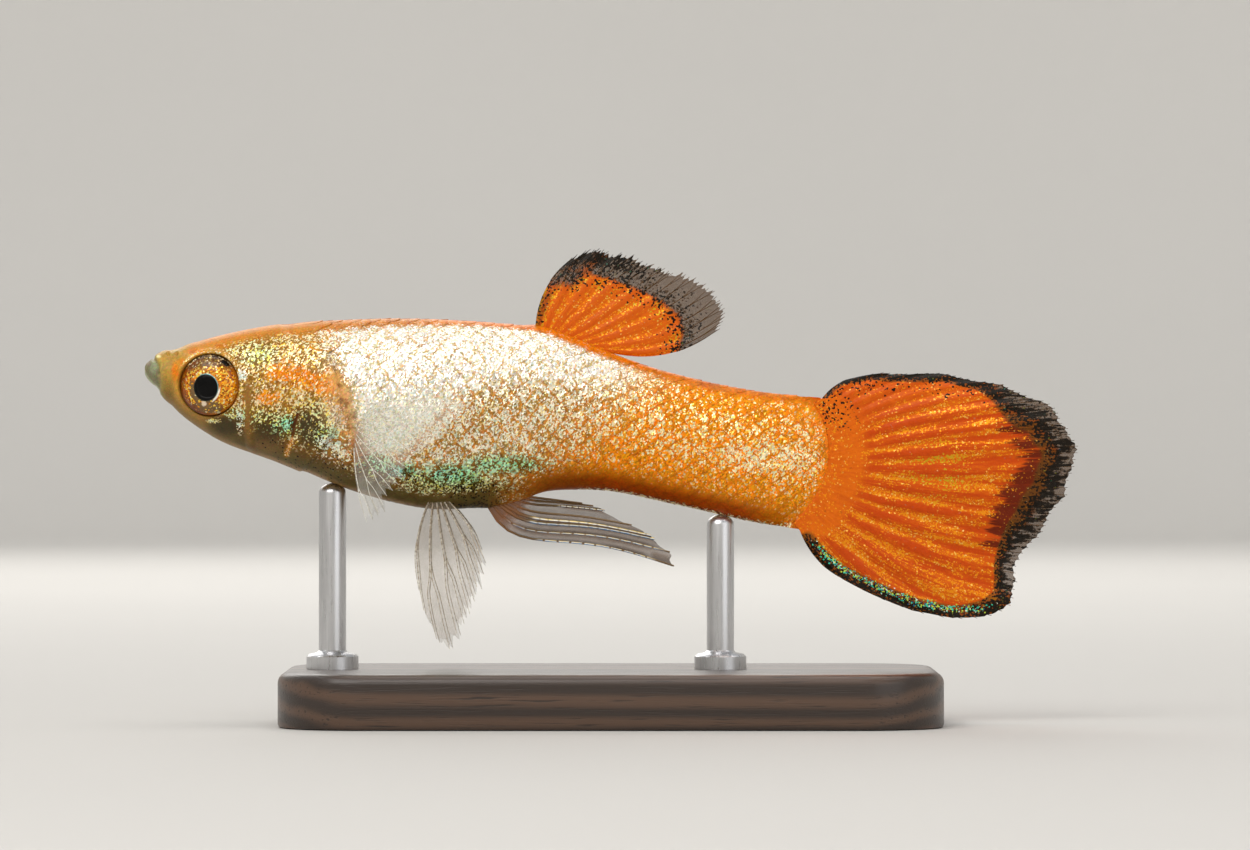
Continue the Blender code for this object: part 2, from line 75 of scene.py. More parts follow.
# Body profile in millimetres: distance behind the snout, height of the back, height of the
# belly and half width
PROFILE = (
    (0.00, 0.34, -0.34, 0.62),
    (0.50, 0.57, -0.77, 0.92),
    (1.20, 0.80, -1.51, 1.20),
    (2.30, 1.14, -2.33, 1.58),
    (4.90, 1.67, -3.37, 1.88),
    (7.90, 1.87, -4.55, 2.06),
    (10.60, 1.87, -5.12, 2.08),
    (13.00, 1.72, -4.90, 1.86),
    (14.60, 1.52, -4.50, 1.66),
    (16.50, 0.80, -4.42, 1.45),
    (19.20, -0.08, -4.92, 1.16),
    (22.60, -0.78, -5.66, 0.72),
    (25.00, -1.00, -5.98, 0.36),
)
SNOUT_ROUNDING = 0.55
WIDEST_SHARE = 0.53
BACK_POWER = 2.15
BELLY_POWER = 1.95

GILL_EDGE = 7.15
GILL_EDGE_HEIGHT = -1.30
GILL_EDGE_CURL = 1.25
GILL_REACH_UP = 3.3
GILL_REACH_DOWN = 2.2
TAIL_ROOT_TOP = (24.70, -1.04)
TAIL_ROOT_BOTTOM = (23.90, -5.86)
TAIL_ROOT_BULGE = 0.95

EYE_PLACE = (2.49, -0.56)
EYE_RADIUS = 1.12
EYE_INSET = 1.06
EYE_BACK = 0.40
EYE_TURN = math.radians(10)


def srgb(red, green, blue):
    """A colour given as 0 to 255 screen values, as Blender's linear values."""
    shares = [value / 255 for value in (red, green, blue)]
    return tuple(s / 12.92 if s <= 0.04045 else ((s + 0.055) / 1.055) ** 2.4 for s in shares)


LENGTH = {"precision": 6, "unit": "LENGTH"}
COLOUR = {"subtype": "COLOR"}


class GuppySkin(bpy.types.PropertyGroup):
    sides: IntProperty(name="Sides", description="Points round the skin", default=200, min=64, max=260)
    coat_depth: FloatProperty(
        name="Coat Depth",
        description="How far the skin lies inside the solids where scales cover it",
        default=0.06 * MM,
        **LENGTH,
    )
    socket_depth: FloatProperty(
        name="Socket Depth",
        description="Depth of the eye's socket under the eye's widest ring",
        default=0.3 * MM,
        **LENGTH,
    )
    tan: FloatVectorProperty(
        name="Tan", description="Ground of the head", default=srgb(160, 112, 38), **COLOUR
    )
    # Pale and White Flecks colour the upper flank: partly its own colour, and partly a painted highlight.
    pale: FloatVectorProperty(
        name="Pale", description="Ground of the flank", default=srgb(218, 202, 172), **COLOUR
    )
    orange: FloatVectorProperty(
        name="Orange", description="Ground of the rear", default=srgb(236, 146, 6), **COLOUR
    )
    grey: FloatVectorProperty(
        name="Grey", description="Clear places on the cheek and jaw", default=srgb(66, 56, 34), **COLOUR
    )
    white: FloatVectorProperty(
        name="White Flecks", description="Flecks on the flank", default=srgb(250, 244, 232), **COLOUR
    )
    gold: FloatVectorProperty(
        name="Gold Flecks", description="Flecks on the rear", default=srgb(255, 226, 120), **COLOUR
    )
    green: FloatVectorProperty(
        name="Green Flecks", description="Flecks on the belly", default=srgb(84, 246, 140), **COLOUR
    )


class GuppyScales(bpy.types.PropertyGroup):
    rows: IntProperty(
        name="Rows", description="Rows of scales round the body", default=40, min=20, max=48
    )
    spacing: FloatProperty(
        name="Spacing", description="Distance from scale to scale along a row", default=0.69 * MM, **LENGTH
    )
    lift: FloatProperty(
        name="Lift", description="Height of a scale's free edge over the skin", default=0.055 * MM, **LENGTH
    )
    thickness: FloatProperty(
        name="Thickness", description="Thickness of a scale", default=0.02 * MM, **LENGTH
    )


class GuppyEyes(bpy.types.PropertyGroup):
    sides: IntProperty(name="Sides", description="Points round an eye", default=96, min=32, max=128)
    iris: FloatVectorProperty(
        name="Iris", description="Gold of the iris", default=srgb(244, 142, 6), **COLOUR
    )


class GuppyFins(bpy.types.PropertyGroup):
    root_thickness: FloatProperty(
        name="Root Thickness", description="Thickness of a membrane at its root", default=0.16 * MM, **LENGTH
    )
    edge_thickness: FloatProperty(
        name="Edge Thickness", description="Thickness of a membrane at its edge", default=0.05 * MM, **LENGTH
    )
    orange: FloatVectorProperty(
        name="Orange", description="Bright membranes on their rays", default=srgb(228, 108, 4), **COLOUR
    )
    red: FloatVectorProperty(
        name="Red", description="Membrane of the tail between its rays", default=srgb(200, 70, 0), **COLOUR
    )
    gold: FloatVectorProperty(
        name="Gold", description="Flecks in the membrane", default=srgb(244, 152, 22), **COLOUR
    )


class GuppyStand(bpy.types.PropertyGroup):
    collar_radius: FloatProperty(
        name="Collar Radius",
        description="Radius of the collars at the rods' feet",
        default=0.95 * MM,
        **LENGTH,
    )
    wood: FloatVectorProperty(
        name="Wood", description="Stained wood", default=(0.055, 0.028, 0.015), **COLOUR
    )


class GuppyStudio(bpy.types.PropertyGroup):
    camera_distance: FloatProperty(
        name="Camera Distance",
        description="From the camera to the fish's middle",
        default=250 * MM,
        **LENGTH,
    )
    view_width: FloatProperty(
        name="View Width",
        description="What the picture's width takes in at the fish",
        default=45.6 * MM,
        **LENGTH,
    )
    floor: FloatVectorProperty(
        name="Floor", description="Floor and backdrop", default=(0.54, 0.525, 0.50), **COLOUR
    )
    daylight: FloatProperty(
        name="Daylight", description="Strength of the light from all round", default=0.45
    )


def smooth(xs, ys, x):
    """Values at x of the smooth curve through the points, held level past its ends."""
    xs = np.asarray(xs, float)
    ys = np.asarray(ys, float)
    x = np.clip(np.asarray(x, float), xs[0], xs[-1])
    slopes = np.gradient(ys, xs)
    i = np.clip(np.searchsorted(xs, x, side="right") - 1, 0, len(xs) - 2)
    span = xs[i + 1] - xs[i]
    t = (x - xs[i]) / span
    rise = ys[i] * (1 + 2 * t) * (1 - t) ** 2 + ys[i + 1] * t * t * (3 - 2 * t)
    lean = slopes[i] * t * (1 - t) ** 2 - slopes[i + 1] * t * t * (1 - t)
    return rise + lean * span


def rising(x, low, high):
    """0 below low, 1 above high and a soft step between."""
    t = np.clip((np.asarray(x, float) - low) / (high - low), 0, 1)
    return t * t * (3 - 2 * t)


def falling(x, low, high):
    """1 below low, 0 above high and a soft step between."""
    return 1 - rising(x, low, high)


def ridge(x, middle, width):
    """A bell of height 1."""
    return np.exp(-(((np.asarray(x, float) - middle) / width) ** 2))


def section(distance):
    """Half width, widest height, upper and lower half depth of the body at a distance."""
    stations = np.array(PROFILE)
    back, belly, half = (smooth(stations[:, 0], stations[:, k], distance) for k in (1, 2, 3))
    blunt = 1 - np.clip(np.asarray(distance) / SNOUT_ROUNDING, 0, 1)
    rounding = np.sqrt(np.clip(1 - blunt**2, 0, 1))
    widest = belly + WIDEST_SHARE * (back - belly)
    return half * rounding, widest, (back - widest) * rounding, (widest - belly) * rounding


def signed_power(value, power):
    return np.sign(value) * np.abs(value) ** power


def body_point(distance, angle):
    """Distance, side and height of the body's surface, the last axis of the result."""
    distance, angle = np.broadcast_arrays(np.asarray(distance, float), angle)
    half, widest, up, down = section(distance)
    sine = np.sin(angle)
    power = np.where(sine > 0, 2 / BACK_POWER, 2 / BELLY_POWER)
    side = half * signed_power(np.cos(angle), power)
    height = widest + np.where(sine > 0, up, down) * signed_power(sine, power)
    return np.stack([distance, side, height], axis=-1)


def back_height(distance):
    _, widest, up, _ = section(distance)
    return widest + up


def belly_height(distance, side=0.0):
    """Height of the body's underside at a distance and a place off the midline."""
    half, widest, _, down = section(distance)
    share = np.clip(np.abs(side) / np.maximum(half, 1e-6), 0, 1)
    return widest - down * (1 - share**BELLY_POWER) ** (1 / BELLY_POWER)


def flank(distance, height):
    """How far the body's side is from the midline at a distance and height."""
    half, widest, up, down = section(distance)
    off = height - widest
    depth = np.where(off > 0, up, down)
    power = np.where(off > 0, BACK_POWER, BELLY_POWER)
    share = np.clip(np.abs(off) / depth, 0, 1)
    return half * (1 - share**power) ** (1 / power)


def gill_edge(height):
    """Distance of the gill cover's rear edge at a height."""
    off = height - GILL_EDGE_HEIGHT
    reach = np.where(off > 0, GILL_REACH_UP, GILL_REACH_DOWN)
    return GILL_EDGE - GILL_EDGE_CURL * (off / reach) ** 2


def tail_edge(height):
    """Distance of the tail fin's root line at a height."""
    share = (TAIL_ROOT_TOP[1] - height) / (TAIL_ROOT_TOP[1] - TAIL_ROOT_BOTTOM[1])
    straight = TAIL_ROOT_TOP[0] + share * (TAIL_ROOT_BOTTOM[0] - TAIL_ROOT_TOP[0])
    return straight + TAIL_ROOT_BULGE * 4 * share * (1 - share)


def in_world(places):
    """Metres in the model's frame from distance, side and height in millimetres."""
    places = np.asarray(places, float) * MM
    return places + np.array([SNOUT_X, 0.0, SNOUT_HEIGHT])


def from_line(distance, height, line):
    """How far places are from a line of points, seen from the side."""
    nearest = np.full(np.shape(distance), np.inf)
    for (d0, h0), (d1, h1) in zip(line, line[1:]):
        run = (d1 - d0, h1 - h0)
        share = ((distance - d0) * run[0] + (height - h0) * run[1]) / (run[0] ** 2 + run[1] ** 2)
        share = np.clip(share, 0, 1)
        off = np.hypot(distance - d0 - share * run[0], height - h0 - share * run[1])
        nearest = np.minimum(nearest, off)
    return nearest


def from_spot(distance, height, spot, reach):
    """1 in the middle of an oval seen from the side, falling softly to 0 past its edge."""
    off = np.hypot((distance - spot[0]) / reach[0], (height - spot[1]) / reach[1])
    return falling(off, 0.35, 1.35)


def unit(vectors):
    return vectors / np.maximum(np.linalg.norm(vectors, axis=-1, keepdims=True), 1e-12)


def grid_normals(places):
    """Unit normals of a grid of places by its two first axes."""
    return unit(np.cross(np.gradient(places, axis=1), np.gradient(places, axis=0)))


def new_piece(name, points, faces, material=None):
    """A smooth mesh object from points in metres."""
    mesh = bpy.data.meshes.new(name)
    mesh.from_pydata(np.asarray(points, float).tolist(), [], faces)
    mesh.shade_smooth()
    piece = bpy.data.objects.new(name, mesh)
    bpy.context.scene.collection.objects.link(piece)
    if material:
        mesh.materials.append(material)
    return piece


VALUE_FIELDS = {"FLOAT": "value", "FLOAT_VECTOR": "vector", "FLOAT_COLOR": "color"}


def store(piece, name, kind, values):
    """Keeps one value for each point of a piece under a name."""
    attribute = piece.data.attributes.new(name, kind, "POINT")
    attribute.data.foreach_set(VALUE_FIELDS[kind], np.asarray(values, np.float32).ravel())


def settle(piece, slot, *nodes):
    """Puts a finished piece on the body and hides the solids that it stands for."""
    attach(piece, BODY)
    if nodes:
        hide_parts(*nodes)


def grid_faces(rows, columns, closed=False):
    """Faces of a grid of points, row by row, joined round when closed."""
    faces = []
    for r in range(rows - 1):
        here, below = r * columns, (r + 1) * columns
        for c in range(columns if closed else columns - 1):
            after = (c + 1) % columns
            faces.append((here + c, below + c, below + after, here + after))
    return faces


class Signal:
    """What a socket gives. Adding, taking away and multiplying with signals or numbers make
    math nodes."""

    def __init__(self, wire, socket):
        self.wire = wire
        self.socket = socket

    def __add__(self, other):
        return self.wire.math("ADD", self, other)

    def __radd__(self, other):
        return self.wire.math("ADD", other, self)

    def __sub__(self, other):
        return self.wire.math("SUBTRACT", self, other)

    def __rsub__(self, other):
        return self.wire.math("SUBTRACT", other, self)

    def __mul__(self, other):
        return self.wire.math("MULTIPLY", self, other)


class Wiring:
    """Adds nodes to a tree with short calls, and links signals to their sockets."""

    def __init__(self, tree):
        self.tree = tree

    def feed(self, socket, value):
        if isinstance(value, Signal):
            self.tree.links.new(value.socket, socket)
        elif socket.type == "RGBA" and len(value) == 3:
            socket.default_value = (*value, 1.0)
        else:
            socket.default_value = value

    def fill(self, node, feeds):
        """Feeds a node's sockets by their names."""
        for name, value in feeds.items():
            self.feed(node.inputs[name], value)

    def add(self, kind, *values, feeds=None, **settings):
        """A node of a kind. Settings are its properties. Values feed its sockets in order, and
        feeds by their names."""
        node = self.tree.nodes.new(kind)
        for name, value in settings.items():
            setattr(node, name, value)
        for socket, value in zip(node.inputs, values):
            if value is not None:
                self.feed(socket, value)
        self.fill(node, feeds or {})
        return node

    def made(self, kind, *values, output=0, **settings):
        """What a new node gives."""
        return Signal(self, self.add(kind, *values, **settings).outputs[output])

    def math(self, operation, *values):
        return self.made("ShaderNodeMath", *values, operation=operation)

    def vector(self, operation, *values, output=0):
        return self.made("ShaderNodeVectorMath", *values, output=output, operation=operation)

    def scaled(self, vector, factor):
        return self.made("ShaderNodeVectorMath", vector, feeds={"Scale": factor}, operation="SCALE")

    def rise(self, value, low, high):
        """0 below low, 1 above high and a soft step between."""
        return self.made("ShaderNodeMapRange", value, low, high, interpolation_type="SMOOTHSTEP")

    def fall(self, value, low, high):
        """1 below low, 0 above high and a soft step between."""
        return 1.0 - self.rise(value, low, high)

    def mix(self, share, first, second, blend="MIX"):
        """A colour between two, or their product."""
        places = (share, None, None, None, None, None, first, second)
        return self.made("ShaderNodeMix", *places, output=2, data_type="RGBA", blend_type=blend)

    def noise(self, vector, scale, detail=2.0, roughness=0.5):
        feeds = {"Vector": vector, "Scale": scale, "Detail": detail, "Roughness": roughness}
        return self.made("ShaderNodeTexNoise", feeds=feeds)

    def cells(self, vector, scale):
        """Distance to the nearest cell's middle, and the cell's own random colour."""
        node = self.add("ShaderNodeTexVoronoi", feeds={"Vector": vector, "Scale": scale})
        return [Signal(self, node.outputs[name]) for name in ("Distance", "Color")]

    def pick(self, random, *choices):
        """One of a few colours by a random value. Each choice is a share and its colour."""
        node = self.add("ShaderNodeValToRGB", random)
        ramp = node.color_ramp
        ramp.interpolation = "CONSTANT"
        start = 0.0
        for number, (share, colour) in enumerate(choices):
            stop = ramp.elements[number] if number < 2 else ramp.elements.new(start)
            stop.position = start
            stop.color = (*colour, 1.0)
            start += share
        return Signal(self, node.outputs["Color"])

    def split(self, colour, kind="ShaderNodeSeparateColor"):
        """The three parts of a colour."""
        return [Signal(self, socket) for socket in self.add(kind, colour).outputs[:3]]

    def parts(self, vector):
        """The three parts of a vector."""
        return self.split(vector, "ShaderNodeSeparateXYZ")

    def named(self, name):
        """The colour, vector, number and alpha that a mesh keeps under a name."""
        outputs = self.add("ShaderNodeAttribute", attribute_name=name).outputs
        return {socket.name: Signal(self, socket) for socket in outputs}

    def object_mm(self):
        """The place on the object in millimetres."""
        return self.scaled(self.made("ShaderNodeTexCoord", output="Object"), 1 / MM)

    def tilted(self, random_colour, amount):
        """The surface's normal tipped by a random colour."""
        normal = self.made("ShaderNodeNewGeometry", output="Normal")
        tip = self.scaled(self.vector("SUBTRACT", random_colour, (0.5, 0.5, 0.5)), amount)
        return self.vector("NORMALIZE", self.vector("ADD", normal, tip))

    def place_group(self, shader, tree, names, feeds):
        """Places a group in a material. Its colour and its named outputs feed the shader."""
        group = self.add("ShaderNodeGroup", node_tree=tree)
        self.fill(group, feeds)
        self.feed(shader.inputs["Base Color"], Signal(self, group.outputs["Colour"]))
        for name in names:
            self.feed(shader.inputs[name], Signal(self, group.outputs[name]))


def new_group(name, kind, inputs, outputs):
    """An empty node group with named sockets: the tree, its wiring, what its inputs give and
    its end node."""
    tree = bpy.data.node_groups.new(name, kind)
    for in_out, sockets in (("INPUT", inputs), ("OUTPUT", outputs)):
        for socket_name, socket_kind in sockets.items():
            tree.interface.new_socket(
                name=socket_name, in_out=in_out, socket_type=f"NodeSocket{socket_kind}"
            )
    wire = Wiring(tree)
    start = wire.add("NodeGroupInput")
    given = {socket.name: Signal(wire, socket) for socket in start.outputs if socket.name}
    return tree, wire, given, wire.add("NodeGroupOutput")


def new_material(name, constants):
    """A material with its Principled shader, with constants set on the shader's own sockets."""
    material = bpy.data.materials.new(name)
    material.use_nodes = True
    shader = material.node_tree.nodes["Principled BSDF"]
    wire = Wiring(material.node_tree)
    wire.fill(shader, constants)
    return material, shader, wire


def run_nodes(piece, tree, values, name):
    """A plain mesh object of what a Geometry Nodes tree makes of a piece, which is removed."""
    modifier = piece.modifiers.new(tree.name, "NODES")
    modifier.node_group = tree
    for item in tree.interface.items_tree:
        if item.item_type == "SOCKET" and item.in_out == "INPUT" and item.name in values:
            modifier[item.identifier] = values[item.name]
    graph = bpy.context.evaluated_depsgraph_get()
    evaluated = piece.evaluated_get(graph)
    mesh = bpy.data.meshes.new_from_object(evaluated, preserve_all_data_layers=True, depsgraph=graph)
    piece.modifiers.remove(modifier)
    bpy.data.objects.remove(piece)
    mesh.name = name
    result = bpy.data.objects.new(name, mesh)
    bpy.context.scene.collection.objects.link(result)
    return result


# The line of the mouth, folds and streaks of the head, seen from the side
MOUTH_LINE = ((0.37, 0.42), (0.43, 0.34), (0.55, 0.13), (0.585, -0.15))
CHIN_FOLD = ((0.585, -0.15), (0.60, -0.45), (0.54, -0.76))

# How far the lips, chin and brow stand out past the plain loft: distances and heights
SNOUT_TOP = (
    (0.0, 0.075, 0.16, 0.25, 0.36, 0.43, 0.55, 0.73, 0.98, 1.3, 1.6, 2.0),
    (0.05, 0.056, 0.02, -0.02, -0.08, 0.0, 0.046, 0.062, -0.005, -0.015, 0.018, 0.0),
)
SNOUT_LOW = (
    (0.0, 0.11, 0.29, 0.39, 0.47, 0.55, 0.70, 0.84, 0.99, 1.2),
    (-0.10, -0.08, -0.004, 0.051, 0.073, -0.023, -0.075, -0.053, 0.004, 0.0),
)
NOSTRILS = ((0.90, 0.54), (1.22, 0.57))
PREOPERCLE = ((3.86, -0.60), (3.86, -1.30), (3.84, -2.10), (3.90, -2.75))
GILL_SLIT = ((5.68, -1.60), (5.52, -2.05), (5.46, -2.50), (5.22, -3.05))
SHOULDER_LINE = ((7.00, -0.25), (7.50, -1.20), (7.66, -2.20), (7.88, -3.10))
CHEEK_STREAK = ((4.95, -0.12), (5.70, -0.22), (6.45, -0.50), (7.30, -0.95), (7.60, -1.60))


def scale_front(height):
    """Distance at which the scales begin."""
    return gill_edge(height) - 1.3 * rising(height, 0.5, 1.5)


def scaled_share(distance, height):
    """1 where scales cover the skin and 0 on the head."""
    front = scale_front(height)
    return rising(distance, front - 0.05, front + 0.4)


def gill_relief(distance, height):
    """The gill cover's swell, its free edge and the groove behind it."""
    edge = gill_edge(height)
    level = np.exp(-(((height - GILL_EDGE_HEIGHT) / 2.3) ** 4))
    swell = 0.10 * np.clip((distance - 3.6) / 2.4, 0, 1) * falling(distance, edge - 0.02, edge + 0.12)
    groove = 0.07 * ridge(distance, edge + 0.12, 0.07)
    return level * (swell - groove)


def head_relief(distance, height):
    """How far the skin stands out past the plain loft, in millimetres."""
    mouth = from_line(distance, height, MOUTH_LINE)
    lips = 0.03 * ridge(mouth, 0.12, 0.09) - 0.06 * ridge(mouth, 0, 0.04)
    chin = -0.035 * ridge(from_line(distance, height, CHIN_FOLD), 0, 0.05)
    nose = np.zeros(np.shape(distance))
    for place in NOSTRILS:
        off = np.hypot(distance - place[0], height - place[1])
        nose += 0.03 * ridge(off, 0.10, 0.04) - 0.09 * ridge(off, 0, 0.05)
    cheek = from_line(distance, height, PREOPERCLE)
    cheek = 0.03 * ridge(cheek, 0, 0.12) - 0.02 * ridge(cheek, 0.2, 0.06)
    slit = -0.06 * ridge(from_line(distance, height, GILL_SLIT), 0, 0.045)
    shoulder = 0.05 * ridge(from_line(distance, height, SHOULDER_LINE), 0.1, 0.14)
    return lips + chin + nose + cheek + slit + shoulder


def shape_snout(places):
    """Moves the loft's top and underside out to the lips, chin and brow."""
    distance, height = places[..., 0], places[..., 2]
    _, widest, up, down = section(distance)
    over = np.clip((height - widest) / np.maximum(up, 1e-6), 0, 1) ** 2
    under = np.clip((widest - height) / np.maximum(down, 1e-6), 0, 1) ** 2
    places = places.copy()
    places[..., 2] += over * smooth(*SNOUT_TOP, distance) + under * smooth(*SNOUT_LOW, distance)
    return places


def eye_frame(side):
    """Middle of an eye, its axis and the two directions across it."""
    middle = np.array([EYE_PLACE[0], side * EYE_INSET, EYE_PLACE[1]])
    axis = np.array([-math.sin(EYE_TURN), side * math.cos(EYE_TURN), 0.0])
    across = np.array([math.cos(EYE_TURN), side * math.sin(EYE_TURN), 0.0])
    return middle, axis, across, np.array([0.0, 0.0, 1.0])


def sink_socket(places, side, depth):
    """Presses the skin in under an eye, with a soft raised rim round it."""
    middle, axis, _, _ = eye_frame(side)
    off = places - middle
    along = off @ axis
    out = np.linalg.norm(off - along[..., None] * axis, axis=-1)
    same_side = (along > 0.05) & (places[..., 1] * side > 0)
    sunk = falling(out, EYE_RADIUS - 0.06, EYE_RADIUS + 0.05) * same_side
    rim = 0.06 * ridge(out, EYE_RADIUS + 0.14, 0.09) * same_side
    move = rim - sunk * (along + depth)
    return places + move[..., None] * axis


def skin_rings():
    """Distances of the skin's rings, closest at the snout, mouth and eye."""
    nose = SNOUT_ROUNDING * (1 - np.cos(np.linspace(0, math.pi / 2, 26)))
    spans = ((4.1, 112), (8.0, 76), (22.0, 128), (25.0, 40))
    parts = [nose[1:]]
    start = SNOUT_ROUNDING
    for end, count in spans:
        parts.append(np.linspace(start, end, count + 1)[1:])
        start = end
    return np.concatenate(parts)


def skin_places(rings, angles):
    """The bare loft, whose rings lean into the tail's round root line near the end."""
    lean_from = 19.0
    edge = np.full(angles.shape, rings[-1])
    for _ in range(12):
        edge = tail_edge(body_point(edge, angles)[..., 2]) - 0.02
    share = np.clip((rings - lean_from) / (rings[-1] - lean_from), 0, 1)[:, None]
    distance = np.where(share > 0, lean_from + share * (edge - lean_from), rings[:, None])
    places = body_point(distance, angles)
    near_end = rising(places[..., 0], edge - 1.7, edge)
    places[..., 1] *= 1 - 0.72 * near_end
    return places


def layered(base, layers):
    """Values for each point: a base with layers of a share and a value laid over it in turn."""
    result = np.array(base, float)
    many = result.ndim > 0
    for share, value in layers:
        share = np.asarray(share)[..., None] if many else share
        result = result + share * (np.array(value, float) - result)
    return result


def skin_marks(places, colours):
    """The ground colour and share of flecks, the flecks' colour and black dots, and the colour
    and amount of ragged patches, for every point."""
    d, h = places[..., 0], places[..., 2]
    above_belly = h - belly_height(d)
    below_back = back_height(d) - h

    def spots(*given):
        """The most of a few ovals, each with its strength, middle and reach."""
        ovals = [strength * from_spot(d, h, middle, reach) for strength, middle, reach in given]
        return np.maximum.reduce(ovals)

    body = rising(d, gill_edge(h) - 0.6, gill_edge(h) + 0.6)
    # white: the upper flank, with its own pale ground and white flecks, and partly a painted highlight where
    # the upper flank catches the light from above.
    white_low = smooth((7.3, 9.0, 12.0, 16.0, 18.0, 20.0), (-2.1, -1.5, -0.5, -0.35, -0.75, -1.0), d)
    white = rising(h - white_low, -0.7, 0.5) * rising(d, 6.2, 8.0) * falling(d, 16.5, 20.5)
    veil_low = np.maximum(-3.0, -0.47 + 0.967 * (d - 11.9))
    veil = rising(h - veil_low, -0.16, 0.16) * rising(d, 7.4, 8.2) * falling(h, -1.6, -0.4)
    veil = veil * falling(d, 11.3, 12.5)
    orange = rising(d - 1.2 * (h + 1.5), 14.5, 19.5)
    lower_band = falling(above_belly, 0.3, 1.15) * rising(d, 12.6, 15.0)
    lower_band = lower_band * (1 - 0.6 * rising(d, 21.5, 24.0))
    belly = falling(above_belly, 0.35, 0.9) * falling(d, 12.2, 14.0)
    # lower_rim: a pale line along the underside, partly its own cream colour and partly a painted highlight
    # where light shines through the thin lower edge.
    lower_rim = falling(above_belly, 0.06, 0.22) * rising(d, 0.5, 1.2) * falling(d, 9.5, 11.5)
    throat = falling(above_belly, 0.5, 1.6) * falling(d, 8.0, 10.5) * rising(d, 0.8, 2.0)
    back_width = smooth((3.0, 6.0, 9.0, 13.0, 17.0, 25.0), (0.58, 0.5, 0.38, 0.22, 0.3, 0.34), d)
    back = falling(below_back / back_width, 0.45, 1.25)
    crown = back * falling(d, 5.0, 8.0)
    snout = falling(d + 0.4 * h, 1.5, 2.5)
    from_eye = np.hypot(d - EYE_PLACE[0] + 0.06, h - EYE_PLACE[1] - 0.02)
    near_eye = falling(from_eye, 1.15, 1.5) * falling(d - 0.5 * h, 2.9, 3.6)
    preopercle = ridge(from_line(d, h, PREOPERCLE), 0, 0.16) * rising(h, -3.0, -2.1)
    flap = spots((0.9, (4.4, -2.75), (0.75, 0.35)))
    # Painted glints: two small spots of dense yellow-green flecks under the eye.
    glints_below_eye = spots((1.0, (2.58, -1.86), (0.30, 0.09)), (1.0, (3.28, -1.67), (0.22, 0.10)))
    # A painted highlight: an arc of denser flecks on top of the socket's raised rim above the eye.
    highlight_above_eye = 0.55 * ridge(from_eye, 1.2, 0.06) * rising(h - EYE_PLACE[1], 0.5, 0.9)
    grey = spots(
        (1.0, (3.0, -2.05), (0.72, 0.40)),
        (0.9, (6.15, -2.2), (0.6, 0.75)),
        (1.0, (6.0, -1.95), (0.36, 0.5)),
        (0.75, (4.6, -2.25), (0.75, 0.4)),
    )
    olive = spots(
        (1.0, (11.2, -4.2), (2.4, 0.45)),
        (0.9, (4.5, -1.95), (0.9, 0.6)),
        (0.7, (8.3, -3.9), (1.1, 0.5)),
        (0.45, (3.9, 0.75), (1.0, 0.6)),
        (0.7, (6.2, -1.9), (0.8, 0.9)),
    )
    green = spots(
        (1.0, (9.4, -3.68), (0.75, 0.32)),
        (0.85, (8.4, -3.45), (0.7, 0.4)),
        (0.9, (11.3, -3.8), (1.3, 0.42)),
        (0.8, (13.1, -3.45), (1.7, 0.40)),
        (0.95, (5.3, -1.95), (0.32, 0.34)),
        (0.6, (6.75, -2.5), (0.5, 0.5)),
        (0.5, (3.4, -1.7), (0.5, 0.4)),
        (0.35, (4.4, 0.4), (0.7, 0.4)),
        (0.5, (5.0, -2.2), (0.7, 0.35)),
    )
    teal = spots(
        (1.0, (9.25, -3.7), (0.55, 0.22)),
        (0.6, (5.35, -1.95), (0.25, 0.25)),
        (0.5, (11.0, -3.75), (0.6, 0.25)),
    )
    black = spots(
        (0.8, (12.0, -4.45), (1.3, 0.40)),
        (0.9, (9.6, -3.88), (0.75, 0.16)),
        (0.3, (4.9, -2.6), (0.7, 0.4)),
        (0.4, (11.0, -4.0), (1.2, 0.3)),
        (0.22, (6.5, -3.6), (2.5, 0.6)),
    )
    vent = falling(above_belly, 0.1, 0.26) * spots((1.0, (12.1, -5.0), (0.9, 0.5)))
    black = np.maximum(black, 1.5 * vent)
    lip_line = smooth((-0.75, -0.45, -0.15, 0.13, 0.35, 0.5), (0.54, 0.60, 0.585, 0.55, 0.42, 0.3), h)
    jaw = falling(d - lip_line, -0.08, 0.10)
    # A painted highlight: a pale rim along the jaw's lower edge, where light shines through the thin lip.
    jaw_rim_highlight = falling(above_belly, 0.05, 0.16) * falling(d, 0.5, 0.7)
    lip_glint = spots((0.9, (0.56, 0.44), (0.09, 0.05)))
    streak = ridge(from_line(d, h, CHEEK_STREAK), 0, 0.45)
    brow = ((0.7, (1.7, 0.6), (0.6, 0.2)), (0.6, (2.77, 0.8), (0.35, 0.12)))
    streak = np.maximum(streak, spots((0.8, (4.6, -1.0), (0.55, 0.35)), *brow))
    shoulder = ridge(from_line(d, h, SHOULDER_LINE), 0, 0.36)
    before_eye = spots(
        (0.85, (1.2, -0.06), (0.17, 0.40)),
        (0.6, (1.42, 0.30), (0.22, 0.14)),
        (0.6, (1.9, 0.66), (0.4, 0.13)),
    )
    slit = ridge(from_line(d, h, GILL_SLIT[:3]), 0, 0.075)
    glint = spots(
        (1.0, (3.66, -0.2), (0.2, 0.24)),
        (0.95, (6.75, -2.65), (0.42, 0.34)),
        (0.7, (3.55, -1.85), (0.14, 0.5)),
    )
